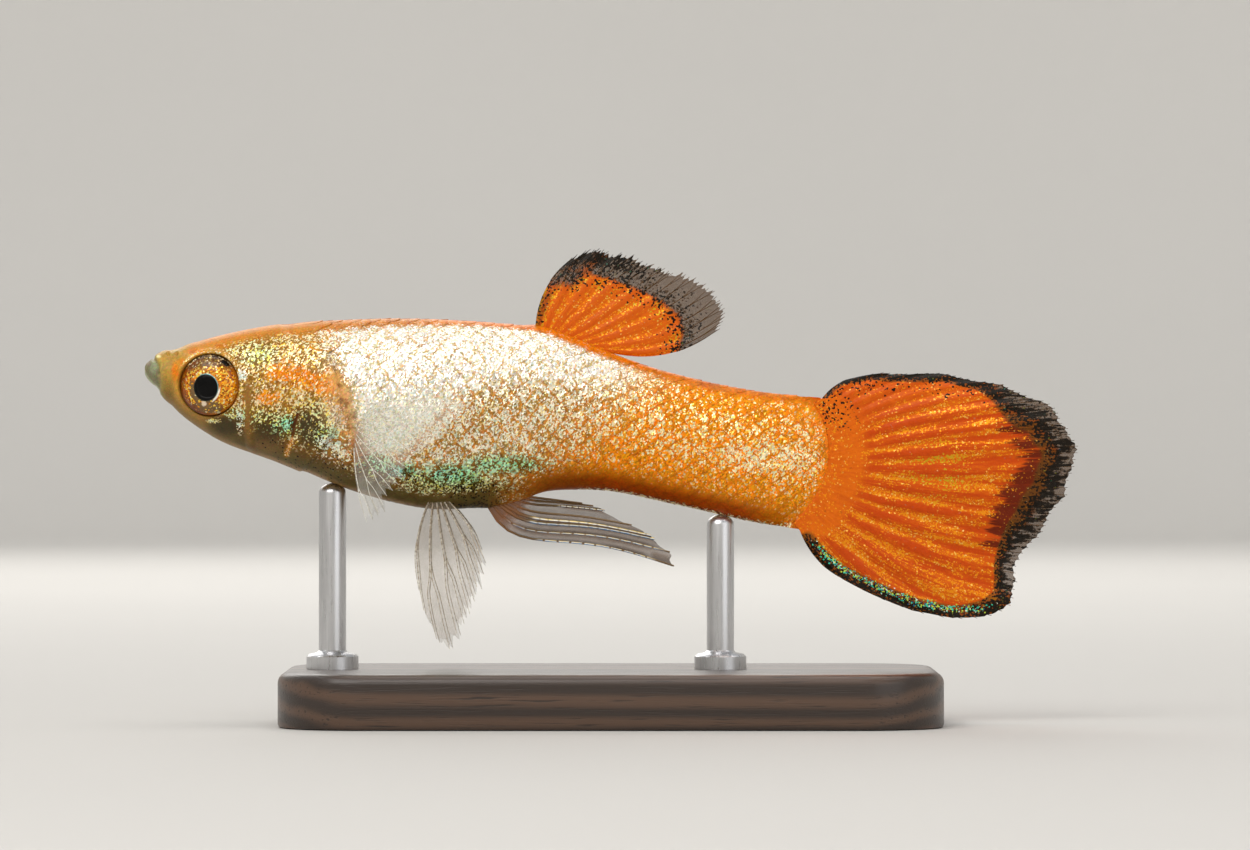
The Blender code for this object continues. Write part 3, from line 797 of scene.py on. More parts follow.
    # The gill slit's lower end: orange ground, with a painted glint of dense gold flecks.
    slit_end_glint = ridge(from_line(d, h, GILL_SLIT[2:]), 0, 0.08)
    edge_line = ridge(above_belly, 0.0, 0.09) * rising(d, 15.0, 17.5) * falling(d, 23.2, 24.2)
    stem_band = np.exp(-(((h - smooth((16.0, 20.0, 24.5), (-1.4, -2.3, -3.2), d)) / 1.15) ** 4))
    tail_end = rising(d - tail_edge(h), -0.75, -0.15)
    white_patch = spots((1.0, (22.6, -3.2), (2.0, 0.55)))
    band_tint = layered(srgb(166, 68, 2), ((falling(d, 14.5, 17.5), srgb(150, 76, 12)),))
    back_tint = layered(srgb(200, 122, 24), ((rising(d, 9.0, 14.0), srgb(224, 120, 4)),))
    snout_tint = layered(srgb(178, 138, 62), ((falling(h, -0.9, -0.1), srgb(138, 106, 50)),))
    eye_tint = layered(srgb(206, 148, 62), ((falling(h, -1.5, -0.6), srgb(176, 128, 60)),))

    ground = layered(colours.tan, (
        (0.9 * olive * (1 - body), srgb(72, 58, 16)),
        (body, srgb(170, 130, 70)),
        (0.9 * white, colours.pale),
        (0.9 * veil, srgb(240, 238, 216)),
        (orange, colours.orange),
        (0.9 * olive * body, srgb(84, 70, 24)),
        (0.85 * green, srgb(42, 62, 18)),
        (throat, srgb(106, 72, 32)),
        (belly, srgb(100, 84, 44)),
        (0.75 * lower_rim, srgb(164, 126, 78)),
        (lower_band, band_tint),
        (0.85 * shoulder, srgb(154, 86, 4)),
        (back * rising(d, 4.0, 7.0), back_tint),
        (crown, srgb(198, 124, 26)),
        (snout, snout_tint),
        (0.85 * near_eye, eye_tint),
        (0.9 * flap, srgb(122, 92, 52)),
        (0.92 * grey, colours.grey),
        (0.8 * preopercle, srgb(148, 106, 52)),
        (before_eye, srgb(220, 116, 2)),
        (0.6 * falling(d - lip_line, 0.05, 0.3), srgb(158, 144, 84)),
        (jaw, srgb(126, 122, 90)),
        (jaw * spots((0.7, (0.36, 0.08), (0.18, 0.26))), srgb(152, 160, 132)),
        (jaw * spots((0.7, (0.14, 0.25), (0.16, 0.14))), srgb(142, 124, 108)),
        (0.7 * jaw_rim_highlight, srgb(190, 196, 164)),
        (lip_glint, srgb(250, 238, 176)),
        (0.85 * slit, srgb(78, 22, 4)),
        (0.8 * slit_end_glint, srgb(220, 136, 26)),
        (tail_end, srgb(226, 100, 4)),
    ))
    bare = np.maximum.reduce(
        [
            0.95 * belly, lower_band, 0.86 * throat, snout, near_eye,
            0.85 * preopercle, 0.85 * back, flap, tail_end, slit,
        ]
    )
    density = layered(0.43, (
        (body, 0.60),
        (white, 0.80),
        (0.9 * veil, 0.84),
        (orange, 0.22 + 0.22 * stem_band),
        (0.8 * white_patch, 0.72),
        (green, 0.64),
        (streak * (1 - white), 0.25),
        (shoulder, 0.10),
        (0.9 * grey, 0.12),
        (np.clip(bare, 0, 1), 0.0),
        (np.maximum.reduce([glint, glints_below_eye, highlight_above_eye]), 0.75),
        (slit_end_glint, 0.5),
        (edge_line, 0.85),
    ))
    flecks = layered(srgb(242, 208, 98), (
        (body, srgb(250, 240, 198)),
        (white, colours.white),
        (0.8 * shoulder, srgb(238, 192, 96)),
        (0.8 * veil, srgb(250, 253, 238)),
        (orange, colours.gold),
        (0.7 * white_patch, srgb(254, 236, 160)),
        (olive, srgb(236, 240, 96)),
        (green, colours.green),
        (teal, srgb(70, 214, 186)),
        (0.85 * streak * (1 - white), srgb(246, 166, 30)),
        (glints_below_eye, srgb(226, 232, 130)),
        (slit_end_glint, srgb(255, 204, 96)),
        (glint, srgb(240, 250, 226)),
        (edge_line, srgb(250, 228, 150)),
    ))
    accent = layered(srgb(212, 138, 22), (
        (streak, srgb(226, 126, 2)),
        (body * (1 - streak), srgb(200, 128, 44)),
        (white, srgb(216, 178, 122)),
        (veil, srgb(214, 206, 180)),
        (orange, srgb(230, 122, 2)),
        (np.maximum(green, olive) * body, srgb(78, 70, 22)),
        (np.maximum(belly, throat), srgb(76, 58, 28)),
        (lower_band, srgb(120, 50, 4)),
        (back, srgb(176, 92, 10)),
    ))
    plain = [belly, throat, snout, near_eye, lower_band, grey, 0.9 * green, 0.8 * olive]
    amount = layered(0.12, (
        (body, 0.34),
        (white, 0.12),
        (veil, 0.0),
        (orange, 0.45),
        (streak, 0.95),
        (0.8 * shoulder, 0.7),
        (np.maximum.reduce(plain), 0.0),
    ))
    return {
        "ground": np.concatenate([ground, np.clip(density, 0, 1)[..., None]], axis=-1),
        "flecks": np.concatenate([flecks, black[..., None]], axis=-1),
        "accent": np.concatenate([accent, np.clip(amount, 0, 1)[..., None]], axis=-1),
    }


MARKS = ("ground", "flecks", "accent")


def marking_group():
    """Pigments and flecks that the skin and the scales share."""
    tree, wire, given, result = new_group(
        "guppy_markings",
        "ShaderNodeTree",
        {"Margin": "Float"},
        {"Colour": "Color", "Roughness": "Float", "Metallic": "Float", "Normal": "Vector"},
    )
    place = wire.object_mm()
    ground, flecks, accent = (wire.named(name) for name in MARKS)
    margin = given["Margin"]
    blotch = wire.noise(place, 1.4, 3.0) - 0.5
    cluster = wire.noise(place, 4.2, 2.0, 0.6) - 0.5
    lean, stretch = (0.0, 0.7, 0.0), (1.0, 1.0, 1.4)
    leaning = wire.made("ShaderNodeMapping", place, None, lean, stretch, vector_type="TEXTURE")
    _, fine_colour = wire.cells(leaning, 21.0)
    fine, fine_b, fine_c = wire.split(fine_colour)

    patch = wire.rise(accent["Alpha"] + (blotch + cluster) * 1.3, 0.35, 0.75)
    colour = wire.mix(patch, ground["Color"], accent["Color"])
    glitter = wire.rise(ground["Alpha"], 0.02, 0.3)
    colour = wire.mix(margin * (glitter * 0.55 + 0.3), colour, accent["Color"])
    uneven = (fine_c - 0.5) * (glitter * 0.36 + 0.30) + (cluster + blotch) * 0.45
    casts = wire.pick(
        fine_b, (0.34, (1.0, 0.84, 0.92)), (0.33, (0.84, 1.0, 0.86)), (0.33, (0.97, 1.0, 0.8))
    )
    shade = wire.mix(1.0, colour, wire.scaled(casts, 1.07 + uneven), "MULTIPLY")

    density = ground["Alpha"] + (cluster + blotch * 0.5) * glitter * 0.95 - margin * 0.38
    fleck = wire.rise(density - fine, -0.06, 0.06) * glitter
    tints = wire.pick(
        fine_b,
        (0.30, srgb(255, 255, 255)),
        (0.18, srgb(252, 208, 204)),
        (0.16, srgb(176, 228, 230)),
        (0.18, srgb(255, 208, 84)),
        (0.18, srgb(200, 184, 186)),
    )
    value = 0.82 + fine_c * 0.42
    value = wire.made("ShaderNodeCombineColor", value, value, value)
    glow = wire.mix(1.0, wire.mix(0.4, flecks["Color"], tints), value, "MULTIPLY")
    colour = wire.mix(fleck, shade, glow)

    dot_distance, dot_colour = wire.cells(wire.vector("ADD", place, (9.1, 4.2, 2.5)), 11.0)
    dot_random, _, _ = wire.split(dot_colour)
    black = flecks["Alpha"] * (0.8 + cluster)
    dots = wire.fall(dot_distance, 0.38, 0.5) * wire.rise(black - dot_random, 0.0, 0.05)
    fleck = fleck * (1.0 - dots)
    wire.fill(result, {
        "Colour": wire.mix(dots, colour, srgb(22, 17, 8)),
        "Roughness": 0.46 - fleck * 0.18,
        "Metallic": fleck * 0.45,
        "Normal": wire.tilted(fine_colour, glitter * 0.5),
    })
    return tree


def skin_material(name, margin=None):
    """Wet skin with the shared markings."""
    constants = {"Coat Weight": 0.13, "Coat Roughness": 0.12, "Specular IOR Level": 0.14, "IOR": 1.38}
    material, shader, wire = new_material(name, constants)
    group = bpy.data.node_groups.get("guppy_markings") or marking_group()
    feeds = {"Margin": wire.rise(wire.named(margin)["Fac"], 0.35, 0.85)} if margin else {}
    wire.place_group(shader, group, ("Roughness", "Metallic", "Normal"), feeds)
    return material


def make_skin(scene):
    """One closed skin from the snout to the tail's root."""
    settings = scene.guppy_skin
    rings = skin_rings()
    sides = settings.sides
    angles = np.arange(sides) * math.tau / sides
    places = skin_places(rings, angles)
    bare = places.copy()
    places = shape_snout(places)
    normals = grid_normals(np.concatenate([places, places[:, :1]], axis=1))[:, :-1]
    from_middle = places - places.mean(axis=1, keepdims=True)
    normals = normals * np.sign(np.sum(normals * from_middle, axis=-1, keepdims=True))
    d, s, h = (bare[..., k] for k in range(3))
    lift = gill_relief(d, h) + head_relief(d, h)
    lift -= settings.coat_depth / MM * scaled_share(d, h)
    lift += 0.10 * ridge(s, 0, 0.28) * (h > 0) * rising(d, 13.6, 14.4) * falling(d, 16.4, 18.2)
    lift += 0.10 * ridge(s, 0, 0.35) * (h < -3) * rising(d, 11.8, 12.6) * falling(d, 13.6, 14.8)
    places = places + normals * lift[..., None]
    for _, side in SIDES_OF_BODY:
        places = sink_socket(places, side, settings.socket_depth / MM)
    tip = np.array([[0.0, 0.0, section(0.0)[1]]])
    points = in_world(np.concatenate([tip, places.reshape(-1, 3)]))
    faces = [(0, 1 + (j + 1) % sides, 1 + j) for j in range(sides)]
    faces += [tuple(1 + k for k in reversed(face)) for face in grid_faces(len(rings), sides, True)]
    last = 1 + (len(rings) - 1) * sides
    quarter, half = sides // 4, sides // 2
    for j in range(-quarter, quarter):
        corners = [j % sides, (j + 1) % sides, (half - j - 1) % sides, (half - j) % sides]
        faces.append(tuple(last + k for k in dict.fromkeys(corners)))
    skin = new_piece("body_skin", points, faces, skin_material("guppy_skin"))
    for name, values in skin_marks(bare, settings).items():
        values = values.reshape(-1, 4)
        store(skin, name, "FLOAT_COLOR", np.concatenate([values[:1], values]))
    face_outwards(skin)
    settle(skin, "flank_skin", "head", "torso", "tail_stem")


def face_outwards(piece):
    """Turns a closed mesh's faces to the outside."""
    shape = bmesh.new()
    shape.from_mesh(piece.data)
    bmesh.ops.recalc_face_normals(shape, faces=shape.faces)
    shape.to_mesh(piece.data)
    shape.free()


class GUPPY_OT_skin(bpy.types.Operator):
    """Build the skin of the head, body and tail stem"""

    bl_idname = "guppy.skin"
    bl_label = "Skin"

    def execute(self, context):
        make_skin(context.scene)
        return {"FINISHED"}


def even_angles(distance, shares):
    """Angles at shares of the girth, from the middle of the back down the left side."""
    turn = math.pi / 2 + np.linspace(0, math.tau, 361)
    steps = np.linalg.norm(np.diff(body_point(distance, turn), axis=0), axis=-1)
    run = np.concatenate([[0.0], np.cumsum(steps)])
    return np.interp(shares, run / run[-1], turn)


def scale_template():
    """One scale as a thin closed shell. Its points keep their place on it, and whether they
    lie on its underside."""
    along = np.linspace(0, 1, 5)
    across = np.linspace(-1, 1, 7)
    places = []
    for share in along:
        for b in across:
            reach = share * (1 - 0.36 * abs(b) ** 2.4)
            width = 0.5 * (0.72 + 0.28 * rising(share, 0, 0.5))
            height = reach**1.2 * (1 - 0.35 * b * b)
            places.append((reach, b * width, height))
    columns = len(across)
    rows = len(along)
    rim = list(range(columns)) + [r * columns + columns - 1 for r in range(1, rows)]
    rim += [(rows - 1) * columns + c for c in range(columns - 2, -1, -1)]
    rim += [r * columns for r in range(rows - 2, 0, -1)]
    faces = [tuple(reversed(face)) for face in grid_faces(rows, columns)]
    under = {top: len(places) + number for number, top in enumerate(rim)}
    for first, second in zip(rim, rim[1:] + rim[:1]):
        faces.append((first, second, under[second], under[first]))
    for r in range(rows - 1):
        left, right = r * columns, (r + 1) * columns - 1
        row = [under[left], under[left + columns], under[right + columns], under[right]]
        if r == 0:
            row = row[:3] + [under[c] for c in range(columns - 1, 0, -1)]
        if r == rows - 2:
            last = (rows - 1) * columns
            row = [under[left]] + [under[last + c] for c in range(columns)] + [under[right]]
        faces.append(tuple(row))
    below = [0.0] * len(places) + [1.0] * len(rim)
    places += [places[top] for top in rim]
    places = np.array(places)
    template = new_piece("scale_template", places * (1.0, 1.0, 0.0), faces)
    template.data.set_sharp_from_angle(angle=math.radians(60))
    store(template, "place", "FLOAT_VECTOR", places)
    store(template, "below", "FLOAT", below)
    margin = np.zeros(len(places))
    margin[rim] = 1.0
    margin[len(below) - len(rim):] = 1.0
    store(template, "margin", "FLOAT", margin)
    return template


def scale_points(settings):
    """One point for each scale, with its lie, its outward way, its size and its place on an
    unwrap of the body."""
    rng = np.random.default_rng(SEED)
    rows, spacing = settings.rows, settings.spacing / MM
    shares = (np.arange(rows) + 0.5) / rows
    points, lies, outs, sizes, unwraps = [], [], [], [], []
    start = 4.6
    distance = start
    odd = 0
    while distance < 24.6:
        step = spacing * (1.05 - 0.16 * (distance - start) / 20)
        angles = even_angles(distance, shares)
        before, here, after = (body_point(distance + off, angles) for off in (-0.15, 0.0, 0.15))
        girth = np.linalg.norm(here - np.roll(here, 1, axis=0), axis=-1)
        for row in range(odd, rows, 2):
            d, s, h = here[row]
            lie = unit(after[row] - before[row])
            around = unit(here[(row + 1) % rows] - here[row - 1])
            belly = h - belly_height(d) < 0.5
            dorsal_base = h > 0 and abs(s) < 0.3 and 13.7 < d < 17.0
            anal_base = h < -3 and abs(s) < 0.4 and 11.8 < d < 14.4
            if d < scale_front(h) + 0.1 or d > tail_edge(h) - 1.0 * step or dorsal_base or anal_base:
                continue
            points.append((d, s, h))
            lies.append(unit(lie + rng.normal(0, 0.05, 3)))
            outs.append(unit(np.cross(around, lie)))
            wide = 2.3 * (girth[row] + girth[(row + 1) % rows]) / 2
            sizes.append((1.66 * step, wide, (0.5 if belly else 1.0) * rng.uniform(0.8, 1.2)))
            unwraps.append((d / 26, shares[row], 0.0))
        odd = 1 - odd
        distance += step / 2
    mesh = bpy.data.meshes.new("scale_points")
    mesh.from_pydata(in_world(points).tolist(), [], [])
    cloud = bpy.data.objects.new("scale_points", mesh)
    bpy.context.scene.collection.objects.link(cloud)
    sizes = np.array(sizes) * (MM, MM, 1.0)
    for name, values in (("lie", lies), ("out", outs), ("size", sizes), ("unwrap", unwraps)):
        store(cloud, name, "FLOAT_VECTOR", values)
    return cloud


def end_tree(wire, given, result, geometry):
    """Ends a Geometry Nodes tree with plain mesh in its material."""
    plain = wire.made("GeometryNodeRealizeInstances", geometry)
    finished = wire.made("GeometryNodeSetMaterial", plain, feeds={"Material": given["Material"]})
    wire.fill(result, {"Geometry": finished})


def scale_tree():
    """Sets a scale on each point, bends it to the skin and gives it the skin's marks."""
    tree, wire, given, result = new_group(
        "guppy_scale_coat",
        "GeometryNodeTree",
        {
            "Geometry": "Geometry",
            "Scale": "Object",
            "Skin": "Object",
            "Lift": "Float",
            "Thickness": "Float",
            "Patch Size": "Float",
            "Material": "Material",
        },
        {"Geometry": "Geometry"},
    )

    def named(name, kind="FLOAT_VECTOR"):
        return wire.made("GeometryNodeInputNamedAttribute", name, output="Attribute", data_type=kind)

    def mesh_of(piece):
        return wire.made("GeometryNodeObjectInfo", given[piece], output="Geometry")

    def turned(rotation, way, axis, **settings):
        kind = "FunctionNodeAlignRotationToVector"
        return wire.made(kind, rotation, 1.0, named(way), axis=axis, **settings)

    def from_skin(value, kind):
        """A value of the skin where it is nearest."""
        feeds = {"Mesh": skin, "Value": value, "Sample Position": position}
        return wire.made("GeometryNodeSampleNearestSurface", feeds=feeds, data_type=kind)

    def keep(geometry, name, value, kind, domain):
        """The geometry with a value stored under a name."""
        node, feeds = "GeometryNodeStoreNamedAttribute", {"Name": name, "Value": value}
        return wire.made(node, geometry, feeds=feeds, data_type=kind, domain=domain)

    scale, skin = mesh_of("Scale"), mesh_of("Skin")
    turn = turned(turned(None, "out", "Z"), "lie", "X", pivot_axis="Z")
    feeds = {"Rotation": turn, "Scale": named("size")}
    copies = wire.made("GeometryNodeInstanceOnPoints", given["Geometry"], None, scale, feeds=feeds)
    coat = wire.made("GeometryNodeRealizeInstances", copies)
    position = wire.made("GeometryNodeInputPosition")
    foot = from_skin(position, "FLOAT_VECTOR")
    normal = from_skin(wire.made("GeometryNodeInputNormal"), "FLOAT_VECTOR")
    place = named("place")
    rise = wire.parts(place)[2] * wire.parts(named("size"))[2] * given["Lift"]
    rise = rise - named("below", "FLOAT") * given["Thickness"]
    for name in MARKS:
        marks = from_skin(named(name, "FLOAT_COLOR"), "FLOAT_COLOR")
        coat = keep(coat, name, marks, "FLOAT_COLOR", "POINT")
    moved = wire.vector("ADD", foot, wire.scaled(normal, rise))
    coat = wire.made("GeometryNodeSetPosition", coat, feeds={"Position": moved})
    patch = wire.vector("ADD", named("unwrap"), wire.scaled(place, given["Patch Size"]))
    end_tree(wire, given, result, keep(coat, "OFBake", patch, "FLOAT2", "CORNER"))
    return tree


def make_scales(scene):
    """The scales, over the skin and along its lie."""
    settings = scene.guppy_scales
    template = scale_template()
    values = {
        "Scale": template,
        "Skin": bpy.data.objects["body_skin"],
        "Lift": settings.lift,
        "Thickness": settings.thickness,
        "Patch Size": BAKE_PATCH,
        "Material": skin_material("guppy_scales", margin="margin"),
    }
    coat = run_nodes(scale_points(settings), scale_tree(), values, "body_scales")
    bpy.data.objects.remove(template)
    settle(coat, "flank_skin")


class GUPPY_OT_scales(bpy.types.Operator):
    """Lay the scales over the skin"""

    bl_idname = "guppy.scales"
    bl_label = "Scales"

    def execute(self, context):
        make_scales(context.scene)
        return {"FINISHED"}


# Height of the eye's surface over its widest ring, by the distance from its axis
EYE_SHAPE = (
    (0.00, 0.665),
    (0.22, 0.655),
    (0.37, 0.625),
    (0.435, 0.585),
    (0.475, 0.605),
    (0.54, 0.600),
    (0.72, 0.530),
    (0.92, 0.420),
    (1.03, 0.310),
    (1.10, 0.165),
    (1.12, 0.0),
)


def lathe(profile, sides):
    """Points across, up and along an axis and faces of a turned shape, closed at both ends.
    The profile's first and last points lie on the axis."""
    turns = np.arange(sides) * math.tau / sides
    points = [(0.0, 0.0, profile[0][1])]
    for radius, height in profile[1:-1]:
        points += [(radius * math.cos(t), radius * math.sin(t), height) for t in turns]
    points.append((0.0, 0.0, profile[-1][1]))
    rings = len(profile) - 2
    last = len(points) - 1
    start = last - sides
    faces = [(0, 1 + (j + 1) % sides, 1 + j) for j in range(sides)]
    faces += [tuple(1 + k for k in face) for face in grid_faces(rings, sides, True)]
    faces += [(start + j, start + (j + 1) % sides, last) for j in range(sides)]
    return np.array(points), faces


def eye_material(settings):
    """Black pupil, gold and orange flecked iris, darker at its top and edge, under a wet gloss."""
    constants = {"Coat Roughness": 0.05, "Specular IOR Level": 0.15, "IOR": 1.34}
    material, shader, wire = new_material("guppy_eye", constants)
    place = wire.vector("ADD", wire.named("iris")["Vector"], (0.05, 0.09, 0.0))
    across, up, _ = wire.parts(place)

    def away(middle):
        """Distance from a place on the eye."""
        return wire.vector("DISTANCE", place, middle, output="Value")

    oval = wire.math("SQRT", across * across + up * up * 0.83)
    out = wire.vector("MULTIPLY", wire.named("iris")["Vector"], (1.0, 1.0, 0.0))
    out = wire.vector("LENGTH", out, output="Value")
    blotch = wire.noise(place, 5.0, 3.0) - 0.5
    _, fleck_colour = wire.cells(place, 18.0)
    fleck, fleck_b, fleck_c = wire.split(fleck_colour)
    top = wire.rise(up + blotch * 0.6, 0.48, 0.86)
    low = wire.rise(blotch * 0.4 - up, 0.44, 0.62) * wire.fall(across + up * 0.3, 0.22, 0.48)
    grey = wire.rise(across * -0.7 + up * -0.8, 0.0, 0.3) * wire.fall(oval, 0.60, 0.70)
    grey = wire.math("MAXIMUM", grey, low)
    edge = wire.rise(out + blotch * 0.2, 0.985, 1.05)
    right = wire.rise(across * 0.86 - up * 0.5, 0.42, 0.47)
    crescent = right * wire.fall(wire.math("ABSOLUTE", oval - 0.495), 0.02, 0.05)
    along_rim = across * 0.78 - up * 0.62
    off_rim = across * 0.62 + up * 0.78
    spot = wire.made("ShaderNodeCombineXYZ", along_rim * 5.0, (off_rim - 1.1) * 12.0, 0.0)
    spot = wire.fall(wire.vector("LENGTH", spot, output="Value") + blotch * 1.5, 0.7, 1.2)
    glint = wire.fall(away((-0.08, -0.60, 0.57)) + blotch * 0.2, 0.06, 0.13)
    low_glint = wire.fall(away((0.40, -0.92, 0.30)), 0.04, 0.10)
    pupil = wire.fall(oval, 0.425, 0.445)
    halo = wire.fall(oval, 0.45, 0.475)

    colour = wire.mix(wire.rise(blotch, -0.12, 0.15), srgb(164, 76, 0), settings.iris)
    colour = wire.mix(wire.rise(across, -0.3, -0.7) * 0.5, colour, srgb(170, 72, 2))
    colour = wire.mix(top * 0.9, colour, srgb(92, 62, 24))
    colour = wire.mix(grey * 0.9, colour, srgb(108, 90, 56))
    gold = wire.pick(
        fleck_b,
        (0.36, srgb(255, 214, 76)),
        (0.34, srgb(250, 164, 20)),
        (0.18, srgb(136, 66, 0)),
        (0.12, srgb(255, 244, 190)),
    )
    speckles = wire.pick(
        fleck_c,
        (0.45, srgb(56, 36, 20)),
        (0.25, srgb(118, 92, 60)),
        (0.2, srgb(200, 170, 106)),
        (0.1, srgb(240, 230, 196)),
    )
    gold = wire.mix(top * 0.9, gold, speckles)
    spark = wire.rise(0.58 - grey * 0.42 - fleck, -0.03, 0.05)
    colour = wire.mix(spark, colour, gold)
    margin = wire.rise(out + blotch * 0.3, 0.8, 0.95)
    colour = wire.mix(margin * wire.rise(across, 0.0, -0.5) * 0.7, colour, srgb(118, 50, 4))
    limb = wire.mix(wire.rise(across, -0.5, 0.6), srgb(112, 50, 4), srgb(176, 104, 22))
    limb = wire.mix(wire.rise(up, 0.6, 0.9), limb, speckles)
    halo_tint = wire.mix(wire.rise(across + up, 0.0, 0.45), srgb(44, 48, 40), srgb(120, 172, 170))
    for share, tint in (
        (edge, limb),
        (spot, srgb(16, 12, 10)),
        (crescent, srgb(244, 240, 224)),
        (glint, srgb(236, 214, 188)),
        (low_glint, srgb(196, 190, 146)),
        (halo, halo_tint),
        (pupil, (0.0012, 0.001, 0.001)),
    ):
        colour = wire.mix(share, colour, tint)
    iris = (1.0 - pupil) * (1.0 - edge)
    wire.fill(shader, {
        "Base Color": colour,
        "Metallic": spark * iris * 0.6,
        "Roughness": 0.4 - spark * 0.12,
        "Coat Weight": (1.0 - pupil) * 0.35 + 0.12,
        "Normal": wire.tilted(fleck_colour, iris * 0.45),
    })
    return material


def make_eyes(scene):
    """Both eyes, each a turned solid with its pupil, iris and limb."""
    settings = scene.guppy_eyes
    shape = np.array(EYE_SHAPE)
    outer = 1.0 + 0.12 * np.sin(np.linspace(0.1, math.pi / 2, 14))
    radii = np.concatenate([np.linspace(0, 1.0, 42), outer])
    profile = list(zip(radii, smooth(shape[:, 0], shape[:, 1], radii)))
    turns = np.linspace(0, math.pi / 2, 10)[1:]
    profile += [(EYE_RADIUS * math.cos(t) ** 0.5, -EYE_BACK * math.sin(t)) for t in turns[:-1]]
    profile.append((0.0, -EYE_BACK))
    material = eye_material(settings)
    for name, side in SIDES_OF_BODY:
        local, faces = lathe(profile, settings.sides)
        middle, axis, across, up = eye_frame(side)
        places = middle + local[:, :1] * across + local[:, 1:2] * up + local[:, 2:] * axis
        eye = new_piece(f"{name}_eye", in_world(places), faces, material)
        store(eye, "iris", "FLOAT_VECTOR", local)
        face_outwards(eye)
        settle(eye, "eye", f"eye_{name}")


class GUPPY_OT_eyes(bpy.types.Operator):
    """Turn both eyes"""

    bl_idname = "guppy.eyes"
    bl_label = "Eyes"

    def execute(self, context):
        make_eyes(context.scene)
        return {"FINISHED"}


class Fin:
    """A fin's fan of rays. Rises in degrees and lengths in millimetres are given for a few rays
    from the first to the last. v runs over the fan from 0 to 1, and u along a ray."""

    rises = ()
    lengths = ()
    bows = (0.0, 0.0)
    bow_power = 1
    rays = 8
    forks = ()  # where along its length a ray splits
    ray_radii = (0.05, 0.015)  # at the root and the tip
    columns_to_a_ray = 12
    rows = 60
    sink = 0.35  # how far the root runs on into the body
    notch = 0.1  # how far the membrane draws back between two tips
    over = 0.05  # how far a ray's tip stands out past the membrane
    ragged = 0.08  # how much the tips' reach varies
    pleat = 0.03  # how far the membrane folds between rays
    smooth_root = (0.0, 0.25)  # shares of a ray over which the folds begin
    scallop = 0.0  # how far the first half of the edge waves
    scallops = 9
    seed = 1

    def __init__(self):
        rng = np.random.default_rng(SEED + self.seed)
        self.tips = self.rays * 2 ** len(self.forks)
        self.reaches = rng.normal(0, self.ragged, self.tips + 1)

    def length(self, v):
        return smooth(np.linspace(0, 1, len(self.lengths)), self.lengths, v)

    def root(self, v):
        """Distance and height of a ray's root."""
        raise NotImplementedError

    def side(self, u, v):
        """Place off the midline."""
        return 0.0

    def marks(self, places, v, u, to_edge):
        """Four marks for each place, under the names that the fin's materials read: here how
        much a clear fin takes the body's tint."""
        root = falling(np.clip(u, 0, 1), 0.0, 0.12)
        return {"fin_marks": (0.4 * root, 0.0, 0.0, 0.0)}

    def ray_place(self, number):
        """Where over the fan a ray lies."""
        return 0.012 + 0.976 * number / (self.rays - 1)

    def point(self, u, v):
        """Distance, side and height on the fan's middle sheet."""
        u, v = np.broadcast_arrays(np.asarray(u, float), v)
        rise = np.radians(smooth(np.linspace(0, 1, len(self.rises)), self.rises, v))
        reach = np.interp(v, np.linspace(0, 1, self.tips + 1), self.reaches)
        wave = self.scallop * np.sin(math.tau * self.scallops * v) * falling(v, 0.5, 0.8)
        length = self.length(v) + (reach + wave) * rising(u, 0.5, 1.0)
        fullest = self.bow_power**self.bow_power / (1 + self.bow_power) ** (1 + self.bow_power)
        share = self.bows[0] + (self.bows[1] - self.bows[0]) * v
        inside = np.clip(u, 0, 1)
        bow = share * length * inside * (1 - inside) ** self.bow_power / fullest
        root_distance, root_height = self.root(v)
        distance = root_distance + u * length * np.cos(rise) - bow * np.sin(rise)
        height = root_height + u * length * np.sin(rise) + bow * np.cos(rise)
        fold = self.pleat * rising(u, *self.smooth_root) * np.cos(math.tau * (self.rays - 1) * v)
        return np.stack([distance, self.side(u, v) + fold, height], axis=-1)

    def ray_width(self, v):
        """How thick a ray is beside the given radii."""
        return 1.0

    def outline(self):
        """Places along the fin's free edge."""
        shares = np.linspace(0.1, 1, 60)
        over = np.linspace(0, 1, 240)
        return np.concatenate([self.point(shares, 0.0), self.point(1.0, over), self.point(shares, 1.0)])

    def near_ray(self, u, v):
        """1 on a ray or branch and 0 midway between two."""
        wave = 0.5 + 0.5 * np.cos(math.tau * (self.rays - 1) * v)
        for level, fork in enumerate(self.forks):
            finer = 0.5 - 0.5 * np.cos(math.tau * (self.rays - 1) * 2 ** (level + 1) * v)
            split = rising(u, fork, fork + 0.25)
            wave = wave + split * (finer - wave)
        return wave


def outline_distance(places, outline):
    """How far each point is from the outline, seen from the side, in millimetres."""
    nearest = np.full(places.shape[:-1], np.inf)
    for spot in outline:
        off = np.hypot(places[..., 0] - spot[0], places[..., 2] - spot[2])
        nearest = np.minimum(nearest, off)
    return nearest


